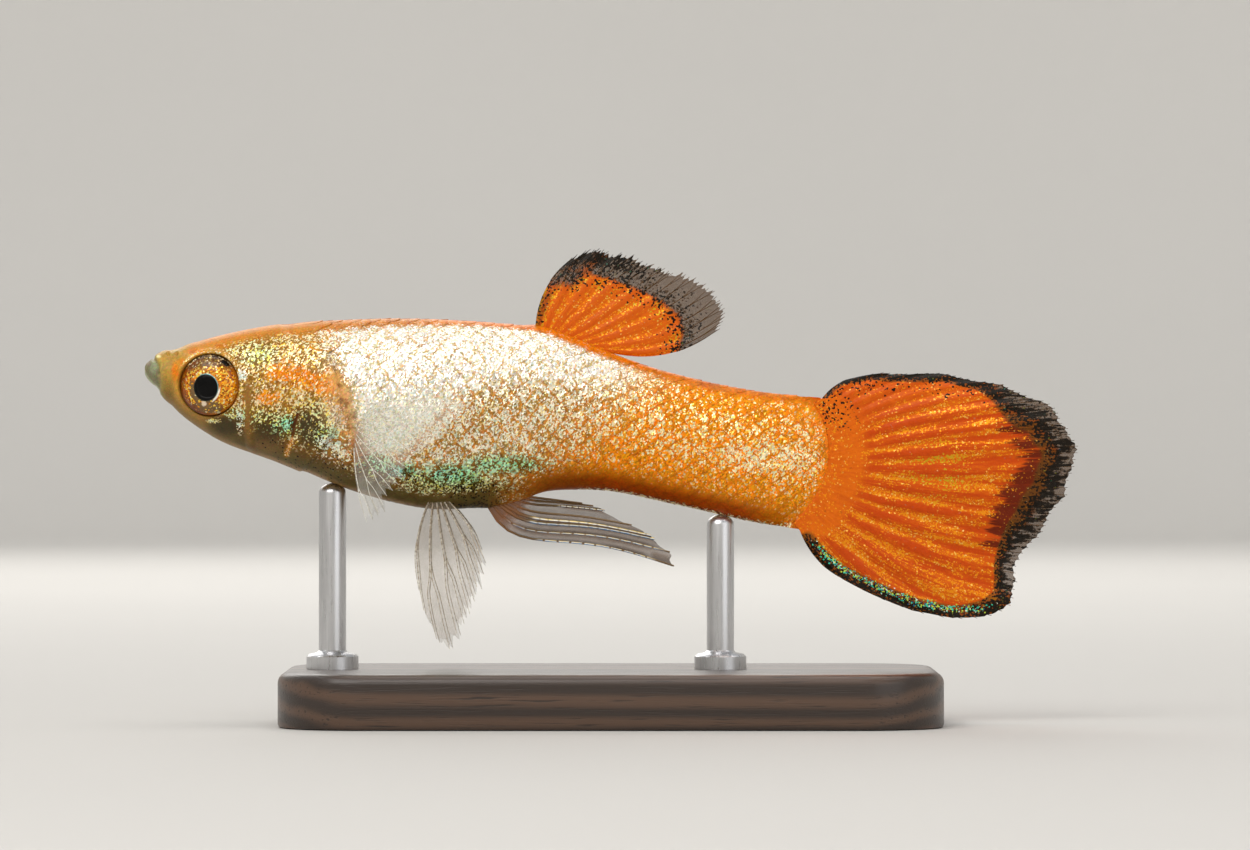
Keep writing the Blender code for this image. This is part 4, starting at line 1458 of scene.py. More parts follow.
def make_membrane(name, fin, material, thicknesses):
    """The skin between a fin's rays as one thin closed sheet."""
    columns = (fin.rays - 1) * fin.columns_to_a_ray + 1
    v = np.linspace(0, 1, columns)[:, None]
    t = np.linspace(0, 1, fin.rows + 1)[None, :]
    start = -fin.sink / fin.length(v)
    pulled_back = fin.notch / fin.length(v) * (0.5 - 0.5 * np.cos(math.tau * fin.tips * v))
    u = start + (1 - pulled_back - start) * t
    places = fin.point(u, v)
    normals = grid_normals(places)
    root, edge = (value / MM / 2 for value in thicknesses)
    half = root + (edge - root) * rising(u, 0.0, 1.0)
    to_edge = outline_distance(places, fin.outline())
    half = half * (0.35 + 0.65 * np.clip(to_edge / 0.15, 0, 1))
    count = columns * (fin.rows + 1)
    sheets = [places + sign * half[..., None] * normals for sign in (1, -1)]
    points = np.concatenate([sheet.reshape(-1, 3) for sheet in sheets])
    rim = [c * (fin.rows + 1) for c in range(columns)]
    rim += [(columns - 1) * (fin.rows + 1) + r for r in range(1, fin.rows + 1)]
    rim += [c * (fin.rows + 1) + fin.rows for c in range(columns - 2, -1, -1)]
    rim += list(range(fin.rows - 1, 0, -1))
    faces = grid_faces(columns, fin.rows + 1)
    faces += [tuple(count + k for k in reversed(face)) for face in faces]
    faces += [(a, b, count + b, count + a) for a, b in zip(rim, rim[1:] + rim[:1])]
    membrane = new_piece(name, in_world(points), faces, material)
    fan = np.stack(np.broadcast_arrays(v, u, to_edge), axis=-1).reshape(-1, 3)
    store(membrane, "fan", "FLOAT_VECTOR", np.concatenate([fan, fan]))
    for attribute, parts in fin.marks(places, v, u, to_edge).items():
        values = np.stack(np.broadcast_arrays(*parts), axis=-1).reshape(-1, 4)
        store(membrane, attribute, "FLOAT_COLOR", np.concatenate([values, values]))
    face_outwards(membrane)
    return membrane


def ray_lines(fin):
    """A fin's rays and their branches as lines of points, each with its radius."""
    points, edges, radii, fans = [], [], [], []

    def add_line(start, end, spread, level):
        count = max(4, int(14 * (end - start)) + 2)
        u = np.linspace(start, end, count)
        v = np.clip(spread(u), 0.0, 1.0)
        first = len(points)
        points.extend(fin.point(u, v))
        edges.extend((first + k, first + k + 1) for k in range(count - 1))
        root, tip = fin.ray_radii
        taper = (1 - np.clip(u, 0, 1)) ** 0.8 * 0.8**level
        radii.extend(fin.ray_width(v) * (tip + (root - tip) * taper))
        fans.extend(np.stack([v, u, np.zeros(count)], axis=-1))

    stations = (*fin.forks, None)

    def grow(place, start, level, spread):
        fork = stations[level]
        length = float(fin.length(place))
        if fork is None:
            add_line(start, 1 + fin.over / length, spread, level)
            return
        add_line(start, fork, spread, level)
        off = 0.25 / (fin.rays - 1) / 2**level
        for sign in (-1, 1):
            def branch(u, sign=sign, spread=spread, fork=fork, off=off):
                return spread(u) + sign * off * rising(u, fork, fork + 0.25)

            grow(place, fork, level + 1, branch)

    for number in range(fin.rays):
        place = fin.ray_place(number)
        start = -fin.sink / float(fin.length(place))
        grow(place, start, 0, lambda u, place=place: np.full_like(u, place))
    mesh = bpy.data.meshes.new("ray_lines")
    mesh.from_pydata(in_world(points).tolist(), edges, [])
    lines = bpy.data.objects.new("ray_lines", mesh)
    bpy.context.scene.collection.objects.link(lines)
    fans = np.array(fans)
    store(lines, "thickness", "FLOAT", np.array(radii) * MM)
    store(lines, "fan", "FLOAT_VECTOR", fans)
    places = np.array(points)
    to_edge = outline_distance(places, fin.outline()) * (fans[:, 1] < 1)
    for attribute, parts in fin.marks(places, fans[:, 0], fans[:, 1], to_edge).items():
        store(lines, attribute, "FLOAT_COLOR", np.stack(np.broadcast_arrays(*parts), axis=-1))
    return lines


def ray_tree():
    """Turns lines into round, tapered rays."""
    tree, wire, given, result = new_group(
        "guppy_fin_rays",
        "GeometryNodeTree",
        {"Geometry": "Geometry", "Sides": "Int", "Material": "Material"},
        {"Geometry": "Geometry"},
    )
    curve = wire.made("GeometryNodeMeshToCurve", given["Geometry"])
    feeds = {"Resolution": given["Sides"], "Radius": 1.0}
    circle = wire.made("GeometryNodeCurvePrimitiveCircle", feeds=feeds)
    radius = wire.made("GeometryNodeInputNamedAttribute", "thickness", output="Attribute", data_type="FLOAT")
    feeds = {"Scale": radius, "Fill Caps": True}
    tube = wire.made("GeometryNodeCurveToMesh", curve, circle, feeds=feeds)
    end_tree(wire, given, result, tube)
    return tree


def make_fin(name, slot, node, fin, materials, thicknesses):
    """A fin's membrane, which stands for its solid, and its rays."""
    settle(make_membrane(f"{name}_membrane", fin, materials[0], thicknesses), slot, node)
    tree = bpy.data.node_groups.get("guppy_fin_rays") or ray_tree()
    values = {"Sides": RAY_SIDES, "Material": materials[1]}
    rays = run_nodes(ray_lines(fin), tree, values, f"{name}_rays")
    rays.data.shade_smooth()
    settle(rays, slot)


class TailFin(Fin):
    """The fan tail, gently waved."""

    rises = (30.0, 21.0, 15.5, 10.0, 2.0, -8.0, -17.5, -30.0, -48.0)
    lengths = (1.6, 4.1, 6.2, 7.95, 8.66, 8.15, 7.45, 7.4, 2.35)
    bows = (0.10, -0.10)
    rays = 17
    forks = (0.42, 0.72)
    ray_radii = (0.045, 0.010)
    rows = 90
    notch = 0.08
    ragged = 0.04
    pleat = 0.03
    smooth_root = (0.1, 0.35)
    scallop = 0.09
    seed = 1

    def root(self, v):
        height = TAIL_ROOT_TOP[1] + v * (TAIL_ROOT_BOTTOM[1] - TAIL_ROOT_TOP[1])
        return tail_edge(height), height

    def side(self, u, v):
        return 0.34 * np.clip(u, 0, 2) ** 1.6 * np.sin(math.tau * 1.5 * v + 0.6)

    def marks(self, places, v, u, to_edge):
        """Black, clear, gold and ray, and deep red, blue, black dots and olive."""
        d, h = places[..., 0], places[..., 2]
        rear = rising(d, 30.2, 31.8) * rising(h, -9.5, -7.6)
        low = falling(h + 0.55 * (d - 27), -7.4, -6.0) * (1 - rear)
        corner = from_spot(d, h, (31.0, -8.8), (1.1, 0.7))
        thin = falling(d, 25.8, 27.2) * falling(v, 0.3, 0.5)
        width = 0.30 - 0.15 * thin + 0.85 * rear + 0.15 * low + 0.3 * corner
        rear = rear * (1 - corner)
        free = np.clip(u, 0, 1)
        share = to_edge / width
        black = 0.86 * falling(share, 0.45, 1.2)
        black = black * (1 - rear * (0.62 - 0.62 * rising(share, 0.1, 0.6)))
        black = black * rising(free, 0.0, 0.25)
        clear = rear * falling(share, 0.25, 0.95)
        gold = rising(free, 0.06, 0.2) * (1 - 0.75 * falling(v, 0.2, 0.4))
        gold = np.maximum(gold, 0.3 * falling(free, 0.0, 0.1))
        deep = rising(d, 29.5, 31.5) * falling(h, -3.6, -2.2) * rising(h, -7.4, -5.8)
        deep = np.maximum(deep, 0.75 * rear * rising(h, -5.4, -4.2))
        deep = deep * falling(to_edge, 1.3, 2.6)
        blue = low * ridge(to_edge, 0.33, 0.12) * rising(free, 0.1, 0.3)
        spots = 0.42 * falling(free, 0.10, 0.28) * falling(v, 0.16, 0.3)
        spots = np.maximum(spots, 0.30 * falling(to_edge, 0.3, 1.0) * falling(v, 0.3, 0.55))
        spots = np.maximum(spots, 1.9 * from_spot(d, h, (29.27, -0.98), (0.09, 0.09)))
        olive = from_spot(d, h, (28.9, -3.7), (1.4, 1.2))
        return {
            "fin_marks": (black, clear, gold, self.near_ray(u, v)),
            "fin_tones": (deep, blue, spots, olive),
        }


class DorsalFin(Fin):
    """The arched fin on the back."""

    rises = (61.8, 56.2, 44.6, 34.6, 27.7, 18.2, 10.6)
    lengths = (2.86, 3.45, 3.8, 4.24, 4.78, 5.0, 4.25)
    bows = (0.11, -0.13)
    rays = 10
    forks = (0.5, 0.8)
    ray_radii = (0.04, 0.010)
    notch = 0.18
    ragged = 0.07
    pleat = 0.02
    seed = 2

    def root(self, v):
        distance = 14.25 + 2.5 * v
        return distance, back_height(distance)

    def side(self, u, v):
        return 0.15 * np.clip(u, 0, 2) ** 1.5 * np.sin(math.pi * (0.2 + 1.1 * v))

    def marks(self, places, v, u, to_edge):
        """Black, clear, gold and ray, and black dots and olive. Deep red and blue stay at 0."""
        free = np.clip(u, 0, 1)
        arched = free - 0.10 * np.sin(math.pi * v)
        front = falling(v, 0.14, 0.34) * rising(free, 0.36, 0.62)
        beyond = rising(arched, 0.55, 0.68)
        clear = np.maximum(front * 0.75, beyond * rising(v, 0.1, 0.3))
        strip = falling(v, 0.05, 0.13) * (1 - front)
        black = 0.72 * rising(free, 0.72, 0.88) * falling(v, 0.3, 0.6)
        black = np.maximum(black, 0.13 * strip)
        spots = np.maximum(0.75 * ridge(arched, 0.62, 0.11), 0.9 * front)
        spots = np.maximum(spots, 0.45 * strip)
        gold = (1 - beyond) * (0.6 + 0.25 * falling(free, 0.1, 0.4) + 1.3 * strip)
        olive = np.maximum(np.maximum(strip, 0.6 * ridge(v, 0.1, 0.1)), ridge(free, 0.6, 0.1))
        return {
            "fin_marks": (black, clear, gold, self.near_ray(u, v)),
            "fin_tones": (0.0, 0.0, spots, olive),
        }


class AnalFin(Fin):
    """The slim fin under the belly, whose rays close into a point."""

    rises = (-18.0, -13.2, -11.8, -6.2, -7.0)
    lengths = (7.2, 6.8, 5.95, 5.5, 4.96, 3.6, 2.9, 2.3, 1.8)
    bows = (-0.095, 0.0)
    bow_power = 4
    rays = 8
    ray_radii = (0.072, 0.046)
    notch = 0.12
    ragged = 0.10
    pleat = 0.04
    sink = 0.5
    seed = 3

    def root(self, v):
        distance = 12.52 + 1.53 * v
        return distance, belly_height(distance)

    def ray_place(self, number):
        return (0.012, 0.15, 0.31, 0.41, 0.55, 0.71, 0.85, 0.988)[number]

    def ray_width(self, v):
        return 0.7 + 0.5 * ridge(v, 0.36, 0.12)

    def marks(self, places, v, u, to_edge):
        """The body's tint, the thick tip, shine, and how far the rays show their joints."""
        free = np.clip(u, 0, 1)
        root = falling(free, 0.05, 0.22)
        lobe = rising(free, 0.82, 0.9) * falling(v, 0.06, 0.2)
        band = ridge(v, 0.36, 0.11)
        dashed = 0.9 * ridge(v, 0.15, 0.05) * rising(free, 0.08, 0.16) * falling(free, 0.88, 0.98)
        low = ridge(v, 0.012, 0.05) * (0.5 * rising(free, 0.25, 0.35) + 0.5 * rising(free, 0.6, 0.7))
        short = ridge(v, 0.71, 0.05) * rising(free, 0.45, 0.6)
        shine = np.maximum.reduce([band * rising(free, 0.16, 0.28), dashed, low, short])
        return {"fin_marks": (root, lobe, shine * (1 - lobe), 1 - 0.7 * band)}


class PelvicFin(Fin):
    """A pelvic fin, of a few long rays."""

    rises = (-97.0, -86.0, -79.0, -72.5, -65.0, -56.0)
    lengths = (3.5, 5.45, 4.75, 4.0, 3.3, 2.6)
    bows = (-0.09, 0.07)
    rays = 6
    forks = (0.45,)
    ray_radii = (0.028, 0.009)
    notch = 0.35
    ragged = 0.15
    sink = 0.1
    pleat = 0.03

    def __init__(self, side):
        self.sign = side
        self.seed = 4 + side
        super().__init__()

    def root(self, v):
        distance = 10.45 + 0.5 * v
        return distance, belly_height(distance, 0.62) + 0.3

    def side(self, u, v):
        spread = smooth(np.linspace(0, 1, 6), (0.9, 1.3, 1.5, 1.6, 1.6, 1.4), v)
        return self.sign * (0.62 + spread * np.clip(u, 0, 2))


class PectoralFin(Fin):
    """A clear pectoral fin behind the gill cover."""

    rises = (2.0, -6.0, -20.0, -52.0, -80.0)
    lengths = (4.3, 3.7, 2.8, 2.4, 2.95)
    bows = (0.05, -0.05)
    rays = 11
    forks = (0.55,)
    ray_radii = (0.020, 0.007)
    notch = 0.2
    ragged = 0.08
    sink = 0.0
    pleat = 0.015
    columns_to_a_ray = 8

    def __init__(self, side):
        self.sign = side
        self.seed = 6 + side
        super().__init__()

    def root(self, v):
        return 7.62 + 0.08 * v, -1.35 - 1.25 * v

    def side(self, u, v):
        distance, height = self.root(v)
        spread = smooth(np.linspace(0, 1, 5), (1.0, 1.5, 1.9, 1.8, 1.2), v)
        bent = 1 - np.clip(1 - u, 0, 1) ** 1.7
        return self.sign * (flank(distance, height) - 0.3 + (spread + 0.3) * bent)


def fin_colour_group():
    """Orange membrane with gold flecks, black dots along its rim and a clear edge."""
    tree, wire, given, result = new_group(
        "guppy_fin_colours",
        "ShaderNodeTree",
        {"Membrane": "Color", "Ray": "Color", "Fleck": "Color", "Clear": "Color"},
        {
            "Colour": "Color",
            "Alpha": "Float",
            "Roughness": "Float",
            "Metallic": "Float",
            "Normal": "Vector",
        },
    )
    place = wire.object_mm()
    v, u, _ = wire.parts(wire.named("fan")["Vector"])
    marks, tones = wire.named("fin_marks"), wire.named("fin_tones")
    black, clear, gold = wire.split(marks["Color"])
    deep, blue, spots = wire.split(tones["Color"])
    blotch = wire.noise(place, 1.4, 3.0) - 0.5

    def lines(across, along):
        """Noise drawn out along the rays."""
        run = wire.made("ShaderNodeCombineXYZ", v * across, u * along, 0.0)
        return wire.noise(run, 1.0, 2.0, 0.6) - 0.5

    broad, narrow, tips = lines(42.0, 2.5), lines(170.0, 9.0), lines(95.0, 12.0)
    _, fine_colour = wire.cells(place, 20.0)
    fine, fine_b, fine_c = wire.split(fine_colour)
    _, dot_colour = wire.cells(wire.vector("ADD", place, (5.0, 1.0, 8.0)), 15.0)
    dot, _, _ = wire.split(dot_colour)
    plain = wire.mix(wire.rise(u, 0.1, 0.24), (0.85, 0.85, 0.85), (0.42, 0.42, 0.42))
    plain = plain + (broad + (blotch + narrow)) * 0.9
    lit = marks["Alpha"] * 0.5 + (broad * 1.6 + narrow * 1.1)
    lit = wire.mix(wire.rise(gold, 0.15, 0.75), plain, wire.rise(lit, -0.1, 0.75))
    colour = wire.mix(lit, given["Membrane"], given["Ray"])
    dark_lines = deep * 1.1 + (broad * 2.0 + narrow * 1.4)
    dark_lines = wire.rise(dark_lines, 0.45, 0.9) * wire.rise(deep, 0.0, 0.15)
    colour = wire.mix(dark_lines, colour, srgb(108, 32, 2))
    amount = (lit * 0.75 + blotch * 0.9 - 0.06) * gold * (1.0 - dark_lines * 0.8)
    spark = wire.rise(amount - fine, -0.05, 0.08)
    fleck = wire.mix(wire.rise(fine_b, 0.84, 0.86), given["Fleck"], srgb(255, 200, 90))
    olive = tones["Alpha"] * wire.rise(fine_c, 0.3, 0.4)
    fleck = wire.mix(olive, fleck, srgb(200, 172, 30))
    colour = wire.mix(spark * 0.85, colour, fleck)
    see = wire.rise(clear + (narrow + blotch) * 0.6, 0.2, 0.8)
    colour = wire.mix(see, colour, given["Clear"])
    rim = wire.rise(black, 0.02, 0.2)
    dotted = dot - 0.5
    grain = wire.mix(see, dotted * 0.95, tips * 3.6 + dotted * 0.5)
    ink = wire.rise(black + narrow * 1.6 + grain, 0.38, 0.62) * rim
    colour = wire.mix(rim * (1.0 - see) * 0.7, colour, srgb(96, 64, 14))
    ink = wire.math("MAXIMUM", ink, wire.rise(spots * 0.5 - dot, -0.01, 0.02))
    colour = wire.mix(ink, colour, srgb(24, 17, 6))
    sheen = wire.rise(blue * 0.5 - fine, -0.02, 0.05)
    glow = wire.pick(
        fine_b,
        (0.4, srgb(60, 196, 160)),
        (0.3, srgb(190, 210, 70)),
        (0.2, srgb(30, 96, 130)),
        (0.1, srgb(220, 240, 220)),
    )
    bare = (1.0 - ink) * (1.0 - sheen)
    wire.fill(result, {
        "Colour": wire.mix(sheen, colour, glow),
        "Alpha": 1.0 - see * (bare * 0.36 + 0.08),
        "Roughness": 0.5 - spark * 0.15,
        "Metallic": spark * bare * (1.0 - see) * 0.45,
        "Normal": wire.tilted(fine_colour, (1.0 - see) * 0.3),
    })
    return tree


def bright_fin_material(name, settings, between=None, rays=False):
    """An orange fin's membrane or rays. The colour given is for a membrane between its rays."""
    constants = {"Coat Weight": 0.10, "Coat Roughness": 0.2, "IOR": 1.38, "Specular IOR Level": 0.15}
    material, shader, wire = new_material(name, constants)
    group = bpy.data.node_groups.get("guppy_fin_colours") or fin_colour_group()
    outputs = ["Roughness", "Metallic", "Normal"]
    if rays:
        tints = {"Membrane": srgb(216, 90, 2), "Ray": srgb(236, 120, 8), "Clear": srgb(88, 64, 40)}
    else:
        tints = {"Membrane": between or settings.red, "Ray": settings.orange, "Clear": srgb(96, 66, 32)}
        outputs.append("Alpha")
    wire.place_group(shader, group, outputs, {**tints, "Fleck": settings.gold})
    return material


def make_bright_fin(name, fin, settings, thickening=1.0, between=None):
    """An orange fin and its rays."""
    materials = (
        bright_fin_material(f"guppy_{name}_membrane", settings, between),
        bright_fin_material(f"guppy_{name}_rays", settings, rays=True),
    )
    thicknesses = (settings.root_thickness * thickening, settings.edge_thickness)
    make_fin(name, f"{name}_fin", f"{name}_fin", fin, materials, thicknesses)


class GUPPY_OT_tail_fin(bpy.types.Operator):
    """Build the fan tail with its split rays"""

    bl_idname = "guppy.tail_fin"
    bl_label = "Tail Fin"

    def execute(self, context):
        make_bright_fin("tail", TailFin(), context.scene.guppy_fins, thickening=1.5)
        return {"FINISHED"}


class GUPPY_OT_dorsal_fin(bpy.types.Operator):
    """Build the fin on the back"""

    bl_idname = "guppy.dorsal_fin"
    bl_label = "Dorsal Fin"

    def execute(self, context):
        make_bright_fin("dorsal", DorsalFin(), context.scene.guppy_fins, between=srgb(208, 88, 4))
        return {"FINISHED"}


def clear_fin_material(name, colour, alpha, root_colour, thicker=0.0):
    """A clear membrane, tinted where it grows from the body and thicker amid its shining rays."""
    constants = {"Roughness": 0.3, "Coat Weight": 0.4, "Coat Roughness": 0.15, "IOR": 1.38}
    material, shader, wire = new_material(name, constants)
    root, lobe, inner = wire.split(wire.named("fin_marks")["Color"])
    haze = wire.noise(wire.object_mm(), 3.0, 3.0)
    tint = wire.mix(haze, tuple(0.8 * c for c in colour), colour)
    cover = haze * 0.12 + (alpha - 0.06) + inner * thicker
    cover = wire.math("MAXIMUM", cover, lobe * 0.6)
    cover = wire.math("MAXIMUM", cover, root * 0.75)
    wire.fill(shader, {"Base Color": wire.mix(root, tint, root_colour), "Alpha": cover})
    return material


def clear_ray_material(name, pale, dark, bright, joints, dim=0.0):
    """Rays with their joints. Given how much shine still looks dim, they are pale below and
    bright on top, a painted reflection set by the way each part faces, and dark where they don't shine."""
    constants = {"Coat Weight": 0.5, "Coat Roughness": 0.1, "IOR": 1.4}
    material, shader, wire = new_material(name, constants)
    _, u, _ = wire.parts(wire.named("fan")["Vector"])
    marks = wire.named("fin_marks")
    root, _, shine = wire.split(marks["Color"])
    place = wire.object_mm()
    joint = wire.math("FRACT", u * joints + wire.noise(place, 0.8) * 1.5)
    segment = wire.rise(wire.math("ABSOLUTE", joint - 0.5), 0.05, 0.13)
    _, random = wire.cells(place, 9.0)
    red, _, _ = wire.split(random)
    if dim:
        # Painted reflection: the ray's colour follows the way its surface faces, pale facing down, near
        # white facing sideways and the bright colour facing up, as if the light came from above.
        _, _, facing = wire.parts(wire.made("ShaderNodeNewGeometry", output="Normal"))
        facing = facing + (red - 0.5) * 0.5
        tint = wire.mix(wire.rise(facing, -0.6, -0.1), pale, srgb(246, 248, 240))
        tint = wire.mix(wire.rise(facing, 0.15, 0.6), tint, bright)
        segment = 1.0 - (1.0 - segment) * marks["Alpha"]
        tint = wire.mix(segment, dark, tint)
        tint = wire.mix(wire.rise(shine, 0.0, dim), dark, tint)
    else:
        tint = wire.mix(segment, dark, wire.mix(wire.rise(red, 0.55, 0.6), pale, bright))
    wire.fill(shader, {
        "Base Color": wire.mix(root * 0.7, tint, srgb(150, 92, 44)),
        "Metallic": segment * shine * 0.8,
        "Roughness": 0.45 - shine * 0.2,
    })
    return material


def make_anal_fin(settings):
    """The slim fin under the belly, whose membrane has half the thicknesses set for fins."""
    # pale and bright are the silvery blue below and the gold on top of the rays' painted reflection.
    pale, dark, bright = srgb(132, 172, 226), srgb(116, 90, 56), srgb(255, 226, 140)
    materials = (
        clear_fin_material("guppy_anal_membrane", srgb(104, 70, 32), 0.36, srgb(136, 80, 30), 0.36),
        clear_ray_material("guppy_anal_rays", pale, dark, bright, 15.0, 0.5),
    )
    thicknesses = (settings.root_thickness / 2, settings.edge_thickness / 2)
    make_fin("anal", "anal_fin", "anal_fin", AnalFin(), materials, thicknesses)


class GUPPY_OT_anal_fin(bpy.types.Operator):
    """Build the slim fin under the belly"""

    bl_idname = "guppy.anal_fin"
    bl_label = "Anal Fin"

    def execute(self, context):
        make_anal_fin(context.scene.guppy_fins)
        return {"FINISHED"}


def make_paired_fins(kind, node, settings, alpha, pale, dark):
    """A left and a right fin of one kind."""
    materials = (
        clear_fin_material(f"guppy_{node}_membrane", pale, alpha, srgb(140, 120, 84)),
        clear_ray_material(f"guppy_{node}_rays", pale, dark, srgb(214, 204, 184), 22.0),
    )
    thicknesses = (settings.root_thickness * 0.6, settings.edge_thickness * 0.6)
    for name, side in SIDES_OF_BODY:
        fin = kind(side)
        make_fin(f"{name}_{node}", "clear_fin", f"{node}_fin_{name}", fin, materials, thicknesses)


class GUPPY_OT_pelvic_fins(bpy.types.Operator):
    """Build both pelvic fins"""

    bl_idname = "guppy.pelvic_fins"
    bl_label = "Pelvic Fins"

    def execute(self, context):
        pale, dark = srgb(176, 160, 138), srgb(130, 114, 96)
        make_paired_fins(PelvicFin, "pelvic", context.scene.guppy_fins, 0.14, pale, dark)
        return {"FINISHED"}


class GUPPY_OT_pectoral_fins(bpy.types.Operator):
    """Build both pectoral fins"""

    bl_idname = "guppy.pectoral_fins"
    bl_label = "Pectoral Fins"

    def execute(self, context):
        pale, dark = srgb(244, 242, 232), srgb(188, 178, 160)
        make_paired_fins(PectoralFin, "pectoral", context.scene.guppy_fins, 0.11, pale, dark)
        return {"FINISHED"}


def wood_material(settings):
    """Dark stained wood, its grain along the base, under satin lacquer."""
    constants = {"Coat Weight": 0.35, "Coat Roughness": 0.22}
    material, shader, wire = new_material("stand_wood", constants)

    def stretched(factors):
        return wire.vector("MULTIPLY", wire.object_mm(), factors)

    heart = wire.vector("ADD", stretched((0.0, 1.0, 1.0)), (0.0, 3.0, 9.0))
    wavy = wire.noise(stretched((0.035, 1.0, 1.0)), 0.5, 3.0, 0.5)
    rings = wire.vector("LENGTH", heart, output="Value") * 2.4 + wavy * 2.6
    bands = wire.math("PINGPONG", rings, 1.0)
    pores = wire.noise(stretched((0.35, 9.0, 9.0)), 1.6, 2.0)
    dark = tuple(0.45 * c for c in settings.wood)
    colour = wire.mix(wire.rise(bands, 0.2, 0.9), dark, tuple(1.6 * c for c in settings.wood))
    relief = bands - wire.rise(pores, 0.5, 0.7) * 0.8
    feeds = {"Strength": 0.25, "Distance": 0.03 * MM, "Height": relief}
    wire.fill(shader, {
        "Base Color": wire.mix(wire.rise(pores, 0.58, 0.7), colour, dark),
        "Roughness": pores * 0.25 + 0.3,
        "Normal": wire.made("ShaderNodeBump", feeds=feeds),
    })
    return material


def steel_material():
    """Satin steel with faint drawn lines along the rod."""
    material, shader, wire = new_material("stand_steel", {"Metallic": 1.0})
    lines = wire.noise(wire.vector("MULTIPLY", wire.object_mm(), (14.0, 14.0, 0.6)), 1.0, 2.0)
    wire.fill(shader, {
        "Base Color": wire.mix(lines, (0.50, 0.50, 0.51), (0.70, 0.70, 0.71)),
        "Roughness": lines * 0.2 + 0.2,
    })
    return material


def make_base(settings):
    """The base, a block with round corners and softly rounded edges."""
    low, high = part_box("stand_base")
    corner, soft = 3.0 * MM, 0.4 * MM
    steps, soft_steps = 16, 6
    turn = [math.pi / 2 * k / soft_steps for k in range(soft_steps + 1)]
    levels = [(0.15 * MM, 0.0), (0.04 * MM, 0.04 * MM), (0.0, 0.15 * MM)]
    levels += [(soft * (1 - math.cos(t)), high.z - soft * (1 - math.sin(t))) for t in turn]
    levels += [(soft + 0.5 * MM * k, high.z) for k in range(1, 5)]
    rows = []
    for inset, level in levels:
        radius = max(corner - inset, 0.2 * MM)
        row = []
        for quarter, (sx, sy) in enumerate(((1, 1), (-1, 1), (-1, -1), (1, -1))):
            for k in range(steps + 1):
                angle = math.pi / 2 * (quarter + k / steps)
                x = sx * (high.x - inset - radius) + radius * math.cos(angle)
                y = sy * (high.y - inset - radius) + radius * math.sin(angle)
                row.append((x, y, level))
        rows.append(row)
    around = len(rows[0])
    points = [spot for row in rows for spot in row]
    faces = grid_faces(len(rows), around, True)
    faces.append(tuple(range(around)))
    faces.append(tuple((len(rows) - 1) * around + k for k in range(around)))
    base = new_piece("display_base", points, faces, wood_material(settings))
    base.data.set_sharp_from_angle(angle=math.radians(35))
    face_outwards(base)
    settle(base, "stand_wood", "stand_base")


def make_rod(name, node, distance, settings, material):
    """A steel rod with a collar at its foot and a soft tip against the belly."""
    low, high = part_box(node)
    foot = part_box("stand_base")[1].z
    top = SNOUT_HEIGHT + float(belly_height(distance)) * MM + 0.05 * MM
    radius = (high.x - low.x) / 2
    collar = settings.collar_radius
    profile = [(0.0, foot - 0.1 * MM), (collar, foot - 0.1 * MM), (collar, foot + 0.45 * MM)]
    profile += [(collar - 0.1 * MM, foot + 0.55 * MM), (radius + 0.08 * MM, foot + 0.6 * MM)]
    profile += [(radius, foot + 0.68 * MM), (radius, top - 0.35 * MM)]
    profile += [(radius * math.cos(t), top - 0.35 * MM * (1 - math.sin(t))) for t in (0.3, 0.7, 1.1, 1.4)]
    profile.append((0.0, top))
    points, faces = lathe(profile, 48)
    points = points + np.array([SNOUT_X + distance * MM, 0.0, 0.0])
    rod = new_piece(name, points, faces, material)
    rod.data.set_sharp_from_angle(angle=math.radians(35))
    face_outwards(rod)
    settle(rod, "stand_steel", node)


class GUPPY_OT_stand(bpy.types.Operator):
    """Build the base and the two rods"""

    bl_idname = "guppy.stand"
    bl_label = "Display Stand"

    def execute(self, context):
        settings = context.scene.guppy_stand
        make_base(settings)
        material = steel_material()
        make_rod("front_rod", "stand_rod_front", 6.85, settings, material)
        make_rod("rear_rod", "stand_rod_rear", 21.0, settings, material)
        return {"FINISHED"}


